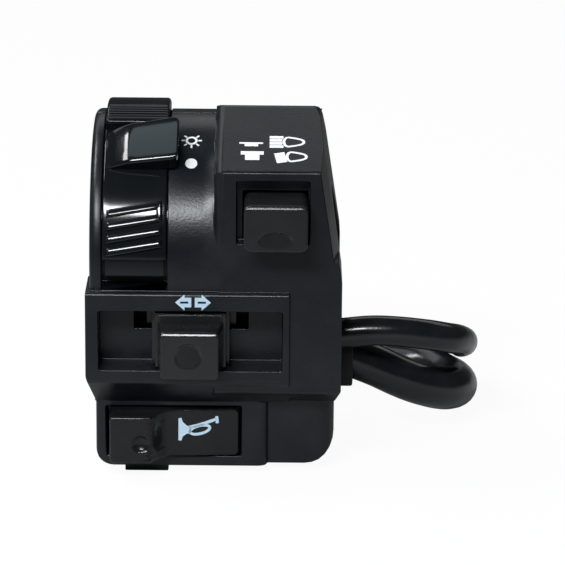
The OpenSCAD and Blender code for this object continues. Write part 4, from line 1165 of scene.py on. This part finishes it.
@dataclass
class Housing:
    """The two clamp halves, their screws and the signs printed on the front half."""

    barrel: float = 26.1
    face: float = -26.2
    sign_foot: float = 20.7
    sign_rise: float = 7.4 / 24.7
    panel: float = -27.2
    block: float = 0.0
    block_round: float = 2.2
    sweep_wide: float = 2.5
    sweep_rise: float = 0.36
    sweep_share: float = 0.9
    sweep_angles: Pair = (22.0, 60.0)
    sweep_ends: Pair = (23.5, 58.0)
    sweep_fade: float = 11.0
    sweep_sink: float = 0.3
    proud: Pair = (0.02, 0.01)

    def on_sign_face(self, u: Array, s: Array, h: Array) -> Array:
        """Sloping sign face: u along the bar, s up the slope from its foot, h out of it."""
        slope = math.atan(self.sign_rise)
        c, k = math.cos(slope), math.sin(slope)
        return np.stack([u, self.face + s * c - h * k, self.sign_foot + s * k + h * c], 1)

    def on_barrel(self, u: Array, s: Array, h: Array) -> Array:
        """Round barrel: u along the bar, s the way round from the front, h out of it."""
        return on_cylinder(u, self.barrel + h, s / self.barrel)

    def on_panel(self, u: Array, s: Array, h: Array) -> Array:
        """Turn panel's front: u along the bar, s the height, h out of it."""
        return np.stack([u, self.panel - h, s], 1)

    def build(self) -> None:
        """Dresses the halves and their screws and prints the signs."""
        Moulding("front_housing", "housing", "housing_black", HOUSING).build()
        Moulding("rear_housing", "housing", "housing_black", HOUSING).build()
        Moulding("clamp_screws", "housing", "zinc_steel", ZINC, edge=0.3).build()
        self.block_fillet()
        self.lamp_signs()
        self.beam_signs()
        self.turn_arrows()

    def block_fillet(self) -> None:
        """Hollow sweep where the barrel runs into the dimmer block's left wall.

        The wall's height over the barrel at each angle is the nearer of the front face and the sign face, both less
        the block's rounding, less the barrel's radius; the sweep climbs most of it, or sweep_rise if that is less,
        and runs out smoothly at both ends. Its profile is a parabola that leaves the barrel at no angle, closed inside
        the wall.
        """
        angle = np.radians(np.linspace(*self.sweep_angles, 80))
        first, last = np.radians(self.sweep_ends)
        front = (-self.face - self.block_round) / np.cos(angle)
        slope = (self.sign_foot - self.sign_rise * self.face - 1.04 * self.block_round) / (
            np.sin(angle) + self.sign_rise * np.cos(angle))
        end = smooth_step(np.minimum(angle - first, last - angle) / math.radians(self.sweep_fade))
        rise = np.minimum(np.maximum(self.sweep_share * (np.minimum(front, slope) - self.barrel), 0.0),
                          self.sweep_rise * end)
        along = np.linspace(0.0, 1.0, 9)
        x = np.concatenate([along - 1, [0.0, 0.0, -1.0]]) * self.sweep_wide + self.block + self.proud[0]
        x = np.tile(x, (len(angle), 1))
        out = np.concatenate([along ** 2, [1.0, 0.0, 0.0]])[None, :] * rise[:, None] + self.barrel + self.proud[1]
        x[:, -3:-1] += self.sweep_sink
        out[:, -2:] -= self.sweep_sink
        points = on_cylinder(x, out, angle[:, None])
        fillet = put_mesh("block_fillet", points.reshape(-1, 3) * MM, tube_faces(*out.shape), sharp=50.0)
        dress(fillet, HOUSING, "housing")

    def lamp_signs(self) -> None:
        """Lamp with rays and the dot below it, on the barrel beside the lever."""
        sign = PrintedSign("lamp_signs", "housing", WHITE_INK, self.on_barrel)
        up, right = math.radians(63.0) * self.barrel, -4.76
        sign.stroke(ring((right, up), 0.98, 0.98), width=0.44, closed=True)
        for way in (0, 45, 135, 180, 225, 270, 315):
            ray = np.array([math.cos(math.radians(way)), math.sin(math.radians(way))])
            sign.stroke(np.array([right, up]) + np.linspace(1.36, 2.08, 3)[:, None] * ray, width=0.36)
        sign.fill(ring((-4.7, math.radians(49.6) * self.barrel), 1.2, 1.2))
        sign.build()

    def beam_signs(self) -> None:
        """Flush and raised button, and high and low beam, on the sloping sign face."""
        sign = PrintedSign("beam_signs", "housing", WHITE_INK, self.on_sign_face)
        sign.fill(np.array([(5.9, 9.8), (8.6, 9.8), (8.6, 10.7), (9.6, 10.75), (9.6, 11.25), (4.85, 11.25),
                            (4.85, 10.75), (5.9, 10.7)]))
        sign.fill(np.array([(6.05, 4.6), (8.9, 4.6), (8.9, 6.6), (9.75, 6.6), (9.75, 7.85), (5.2, 7.85), (5.2, 6.6),
                            (6.05, 6.6)]))
        for line in np.linspace(9.75, 13.25, 4):
            sign.stroke(np.array([(10.9, line), (12.2, line), (13.3 + 0.2 * abs(line - 11.5), line)]), width=0.94)
        sign.stroke(lamp_outline(13.75, 17.7, middle=11.5, half=1.75), width=0.54, closed=True)
        for line in np.linspace(0.12, 0.88, 4):
            start = np.array([11.85, 7.05]) + line * np.array([0.55, -3.6])
            sign.stroke(start + np.linspace(0, 1, 3)[:, None] * np.array([2.0, 0.55]), width=0.92)
        sign.stroke(lamp_outline(14.4, 18.2, middle=5.9, half=1.75), width=0.54, closed=True)
        sign.build()

    def turn_arrows(self) -> None:
        """Left and right arrow on the turn panel, over its window."""
        sign = PrintedSign("turn_arrows", "housing", BLUE_INK, self.on_panel)
        left = np.array([(-7.6, -5.95), (-5.75, -7.62), (-5.75, -6.95), (-4.4, -6.95), (-4.4, -4.95), (-5.75, -4.95),
                         (-5.75, -4.30)])
        sign.fill(left)
        sign.fill((left * (-1, 1) + (-8.1, 0))[::-1])
        sign.build()
        slots = PrintedSign("turn_arrow_slots", "housing", HOUSING, self.on_panel, proud=0.07)
        for first in (-6.6, -3.1):
            slots.stroke(np.array([(first, -5.95), (first + 0.8, -5.95), (first + 1.6, -5.95)]), width=0.42)
        slots.build()


@dataclass
class LightingLever:
    """The lever that turns round the barrel between the lamp sign and the dot."""

    left: float = -22.2
    right: float = -9.4
    band: float = 26.3
    low: float = 5.2
    high: float = 112.0
    tab: Pair = (46.0, 67.0)
    tab_right: float = -7.2
    tab_out: float = 31.1
    tab_slope: float = 0.215
    tab_bends: tuple[Triple, ...] = ((0.27, -17.4, 0.22), (0.75, -20.7, 0.25))
    tab_facet: Pair = (0.34, 0.65)
    grip: Pair = (70.2, 111.2)
    grip_out: float = 28.3
    grip_inset: float = 0.06
    grooves: Pair = (72.6, 85.0)
    groove_pitch: float = 2.2
    groove_depth: float = 0.18
    ridge_first: float = 27.4
    ridge_pitch: float = 5.6
    ridge_tilt: float = 10.0
    ridge_end: float = 0.7
    ridge_inset: Pair = (0.8, 0.9)
    joint_at: Pair = (-1.45, 5.0)
    joint_half: Pair = (0.62, 1.75)
    joint_out: float = 0.66
    clear: float = 26.95

    def band_top(self, x: Array, angle: Array) -> Array:
        """The band's plain outside."""
        return np.full(np.broadcast(x, angle).shape, self.band)

    def grip_top(self, x: Array, angle: Array) -> Array:
        """The grip's outside: a wave of fine grooves over its front part, and plain on top."""
        first, last = self.grooves
        wave = np.cos((angle - first) / self.groove_pitch * 2 * math.pi)
        share = np.clip(np.minimum(angle - first, last - angle) / self.groove_pitch, 0.0, 1.0)
        return self.grip_out - self.groove_depth * share * (0.5 - 0.5 * wave) ** 3 + 0.0 * x

    def tab_face(self, x: Array, s: Array) -> Array:
        """The thumb tab's face: a steep foot on the left, a bend, and a long gentle rise to the right.

        The slope falls from steep to middle to gentle by two smooth steps, and the radius is the slope summed over X.
        """
        run = np.linspace(self.left, self.tab_right, 400)
        slope = self.tab_slope + sum(fall / (1 + np.exp((run - at) / wide)) for fall, at, wide in self.tab_bends)
        rise = np.concatenate([[0.0], np.cumsum(0.5 * (slope[1:] + slope[:-1]) * np.diff(run))])
        low = math.radians(self.tab[0]) * self.band
        lean, tall = self.tab_facet
        return -(self.tab_out - rise[-1] + np.interp(x, run, rise)) + lean * np.maximum(low + tall - s, 0.0)

    def tab_back(self, x: Array, s: Array) -> Array:
        """The tab's underside: sunk in the band, and clear of the barrel where the tab overhangs it."""
        return -np.interp(x, [self.right - 0.9, self.right - 0.15], [self.band - 0.6, self.clear]) + 0.0 * s

    def wrapped(self, u: Array, y: Array, s: Array) -> Array:
        """Carrier round the barrel: u along X, s the way round at the band's radius, -y the radius."""
        return on_cylinder(u, -y, s / self.band)

    def build(self) -> None:
        """Keeps the lever's inner parts and makes its band, tab, grip and ridges."""
        name, slot = "light_lever", "lever_black"
        Moulding(name, name, slot, LEVER, edge=0.0, reach=self.band - 0.5).build()
        ArcShell("lever_band", (self.left, self.right), (self.low, self.high), self.band_top, foot=self.band - 0.9,
                 edge=0.4).build(name, slot, LEVER)
        ArcShell("lever_grip", (self.left + self.grip_inset, self.right - self.grip_inset), self.grip, self.grip_top,
                 foot=self.band - 0.6, edge=0.7, step=0.22).build(name, slot, GRIP)
        low, high = (math.radians(a) * self.band for a in self.tab)
        middle = ((self.left + self.tab_right) / 2, (low + high) / 2)
        half = ((self.tab_right - self.left) / 2, (high - low) / 2)
        ButtonCap("lever_tab", middle, half, corner=1.3, edge=0.4, face=self.tab_face, back=self.tab_back,
                  carrier=self.wrapped).build(name, slot, LEVER)
        self.ridges()

    def ridges(self) -> None:
        """Four slanting ridges under the thumb and the short bar that joins the upper two.

        A ridge's profile is carried along X: a steep lower side, a top that leans back more and more, and a steep
        upper side. Its height runs out at both ends as a quarter circle.
        """
        across = np.array([-0.86, -0.80, -0.72, -0.60, -0.42, -0.2, 0.05, 0.3, 0.52, 0.68, 0.78, 0.84])
        height = np.array([-0.4, 0.36, 0.56, 0.66, 0.69, 0.68, 0.64, 0.575, 0.49, 0.40, 0.28, -0.4])
        end, tilt = self.ridge_end, math.tan(math.radians(self.ridge_tilt))
        x = np.concatenate([[0.0], end * (1 - np.cos(np.radians(np.linspace(8, 90, 7)))), [end + 2.0, end + 4.0]])
        x = np.concatenate([self.left + self.ridge_inset[0] + x, self.right - self.ridge_inset[1] - x[::-1]])
        inward = np.minimum(x - x[0], x[-1] - x)
        taper = np.sqrt(np.maximum(1 - np.maximum(1 - inward / end, 0.0) ** 2, 0.0))
        points, faces = [], []
        for number in range(4):
            base = math.radians(self.ridge_first - self.ridge_pitch * number) * self.band
            way = base + across[None, :] + tilt * (x - x.mean())[:, None]
            out = self.band + np.where(height > 0, height, 0.0)[None, :] * taper[:, None] + np.minimum(height, 0.0)
            points.append(on_cylinder(np.broadcast_to(x[:, None], out.shape), out, way / self.band).reshape(-1, 3))
            faces += [[number * out.size + k for k in face] for face in tube_faces(*out.shape)]
        ridges = put_mesh("lever_ridges", np.concatenate(points) * MM, faces, sharp=50.0)
        dress(ridges, LEVER, "light_lever")
        joint = math.radians(self.ridge_first - 0.5 * self.ridge_pitch) * self.band + tilt * self.joint_at[1]
        ButtonCap("ridge_joint", (self.right + self.joint_at[0], joint), self.joint_half, corner=0.6, edge=0.5,
                  face=lambda u, s: -(self.band + self.joint_out) + 0.0 * u,
                  back=lambda u, s: -(self.band - 0.3) + 0.0 * u, carrier=self.wrapped
                  ).build("light_lever", "lever_black", LEVER)


@dataclass
class DimmerButton:
    """The push button of the dimmer in its recess."""

    centre: Pair = (12.3, 11.0)
    half: Pair = (6.3, 4.7)
    front: float = -33.2
    neck: float = -22.6
    overlap: float = 0.5
    facet: float = 0.75
    scoop_at: Pair = (12.2, 8.7)
    scoop_half: Pair = (3.5, 1.7)
    scoop_lean: float = 0.16

    def face(self, x: Array, z: Array) -> Array:
        """Flat face with a shallow oval dish low in it and a facet along its upper edge."""
        thumb = scoop(x, z, self.scoop_at, self.scoop_half, self.scoop_lean)
        return self.front + thumb + top_facet(z, self.centre[1] + self.half[1], self.facet)

    def build(self) -> None:
        """Makes the button's front and keeps its foot behind."""
        name = "dimmer_button"
        Moulding(name, name, "button_black", BUTTON, edge=0.0, front=self.neck).build()
        ButtonCap("dimmer_cap", self.centre, self.half, corner=1.4, edge=0.35, face=self.face,
                  back=lambda x, z: self.neck + self.overlap + 0.0 * x).build(name, "button_black", BUTTON)


@dataclass
class TurnKnob:
    """The sliding knob in the panel's window."""

    centre: Pair = (-4.6, -15.15)
    half: Pair = (5.75, 4.85)
    front: float = -33.7
    skirt: float = -25.9
    overlap: float = 0.6
    facet: float = 0.7
    scoop_at: Pair = (-4.9, -15.25)
    scoop_half: Pair = (2.8, 2.8)
    scoop_lean: float = 0.11

    def face(self, x: Array, z: Array) -> Array:
        """Flat face with a round thumb dish and a facet along its upper edge."""
        thumb = scoop(x, z, self.scoop_at, self.scoop_half, self.scoop_lean)
        return self.front + thumb + top_facet(z, self.centre[1] + self.half[1], self.facet)

    def build(self) -> None:
        """Makes the knob's front and keeps its stepped skirt and stem."""
        name = "turn_knob"
        Moulding(name, name, "button_black", BUTTON, edge=0.12, front=self.skirt).build()
        ButtonCap("turn_cap", self.centre, self.half, corner=0.7, edge=0.3, spread=(0.95, 0.0), face=self.face,
                  back=lambda x, z: self.skirt + self.overlap + 0.0 * x).build(name, "button_black", BUTTON)


@dataclass
class HornButton:
    """The rocking horn button with its printed horn."""

    centre: Pair = (-8.15, -34.85)
    half: Pair = (13.2, 4.95)
    plate: float = -22.4
    right: float = 5.05
    lean: float = 1.0 / 14.4
    pad: float = -28.0
    ramp: Pair = (-9.6, -13.2)
    neck: float = -20.9
    overlap: float = 0.3
    foot: float = -19.8
    draft: float = 0.62
    facet: float = 0.5
    dimple_at: Pair = (-14.86, -35.6)
    dimple_half: Pair = (1.8, 1.8)
    dimple_deep: float = 0.9

    def drafted(self, u: Array, y: Array, s: Array) -> Array:
        """Leans the cap's left wall in towards the pad's face, so that it clears its recess when it is pressed.

        The shift grows evenly from the foot to the pad's face and from the ramp's foot to the left wall.
        """
        out = np.clip((self.foot - y) / (self.foot - self.pad), 0.0, 1.0)
        left = np.clip((self.ramp[0] - u) / (self.ramp[0] - self.centre[0] + self.half[0]), 0.0, 1.0)
        return upright(u + self.draft * out * left, y, s)

    def face(self, x: Array, z: Array) -> Array:
        """Leaning plate on the right, raised pad on the left with a dimple, and a smooth ramp between."""
        flat = self.plate - (self.right - x) * self.lean
        rise = smooth_step((x - self.ramp[0]) / (self.ramp[1] - self.ramp[0]))
        dimple = dish(x, z, self.dimple_at, self.dimple_half, self.dimple_deep)
        facet = top_facet(z, self.centre[1] + self.half[1], self.facet)
        return flat + (self.pad - flat) * rise + dimple + rise * facet

    def on_plate(self, u: Array, s: Array, h: Array) -> Array:
        """Button's plate, which leans out a little towards the pad: u along the bar, s the height, h out of it."""
        return np.stack([u, self.plate - (self.right - u) * self.lean - h, s], 1)

    def build(self) -> None:
        """Makes the button's front, keeps its foot and prints its sign."""
        name = "horn_button"
        Moulding(name, name, "button_black", HORN_PAINTED_SHADE, edge=0.0, front=self.neck).build()
        ButtonCap("horn_cap", self.centre, self.half, corner=0.9, edge=0.35, face=self.face,
                  back=lambda x, z: self.neck + self.overlap + 0.0 * x, carrier=self.drafted
                  ).build(name, "button_black", HORN_PAINTED_SHADE)
        sign = PrintedSign("horn_sign", name, BLUE_INK, self.on_plate)
        sign.fill(np.array([(-7.1, -36.4), (-6.5, -36.5), (-6.2, -35.6), (-5.4, -35.0), (-4.5, -34.9), (-4.5, -33.5),
                            (-5.4, -33.3), (-6.2, -32.5), (-6.5, -31.6), (-7.05, -31.7)]))
        sign.stroke(np.array([(-4.9, -33.6), (-3.4, -33.3), (-1.6, -32.75), (-0.2, -32.25), (0.6, -31.95)]), width=0.62)
        sign.stroke(ring((-2.75, -34.2), 2.05, 0.85, tilt=14.0), width=0.56, closed=True)
        sign.stroke(np.array([(0.62, -31.35), (0.70, -32.1), (0.76, -32.85)]), width=0.6)
        sign.build()


class Innards:
    """Contacts, springs, bases and wires inside the housing, which keep their CAD solids."""

    finishes: dict[str, Finish] = {
        "light_bridge": BRASS, "light_base": BOARD, "light_contacts": BRASS, "lever_ball": ZINC,
        "lever_spring": SPRING, "dimmer_bridge": BRASS, "dimmer_spring": SPRING, "dimmer_base": BOARD,
        "dimmer_contacts": BRASS, "turn_slider": SLIDER, "turn_bridge": BRASS, "turn_ball": ZINC,
        "turn_spring": SPRING, "turn_base": BOARD, "turn_contacts": BRASS, "horn_pin": ZINC, "horn_spring": SPRING,
        "horn_leaf": BRASS, "horn_base": BOARD, "horn_contact": BRASS, "base_screws": ZINC, "inner_wires": WIRE,
    }

    def build(self) -> None:
        """Gives each node its finish."""
        for node, finish in self.finishes.items():
            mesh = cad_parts[node].data
            mesh.materials.clear()
            mesh.materials.append(finish.material())
        LOG.info("%d inner nodes dressed", len(self.finishes))


def main() -> None:
    """Builds the camera, the cords, the sub-assemblies and the studio in order."""
    logging.basicConfig(level=logging.INFO, format="%(name)s: %(message)s")
    bpy.context.scene.view_settings.view_transform = "Standard"
    StudioCamera().build()
    for assembly in (Loom(), Housing(), LightingLever(), DimmerButton(), TurnKnob(), HornButton(), Innards()):
        assembly.build()
        LOG.info("%s done", type(assembly).__name__)
    Studio().build()


if __name__ == "__main__":
    main()
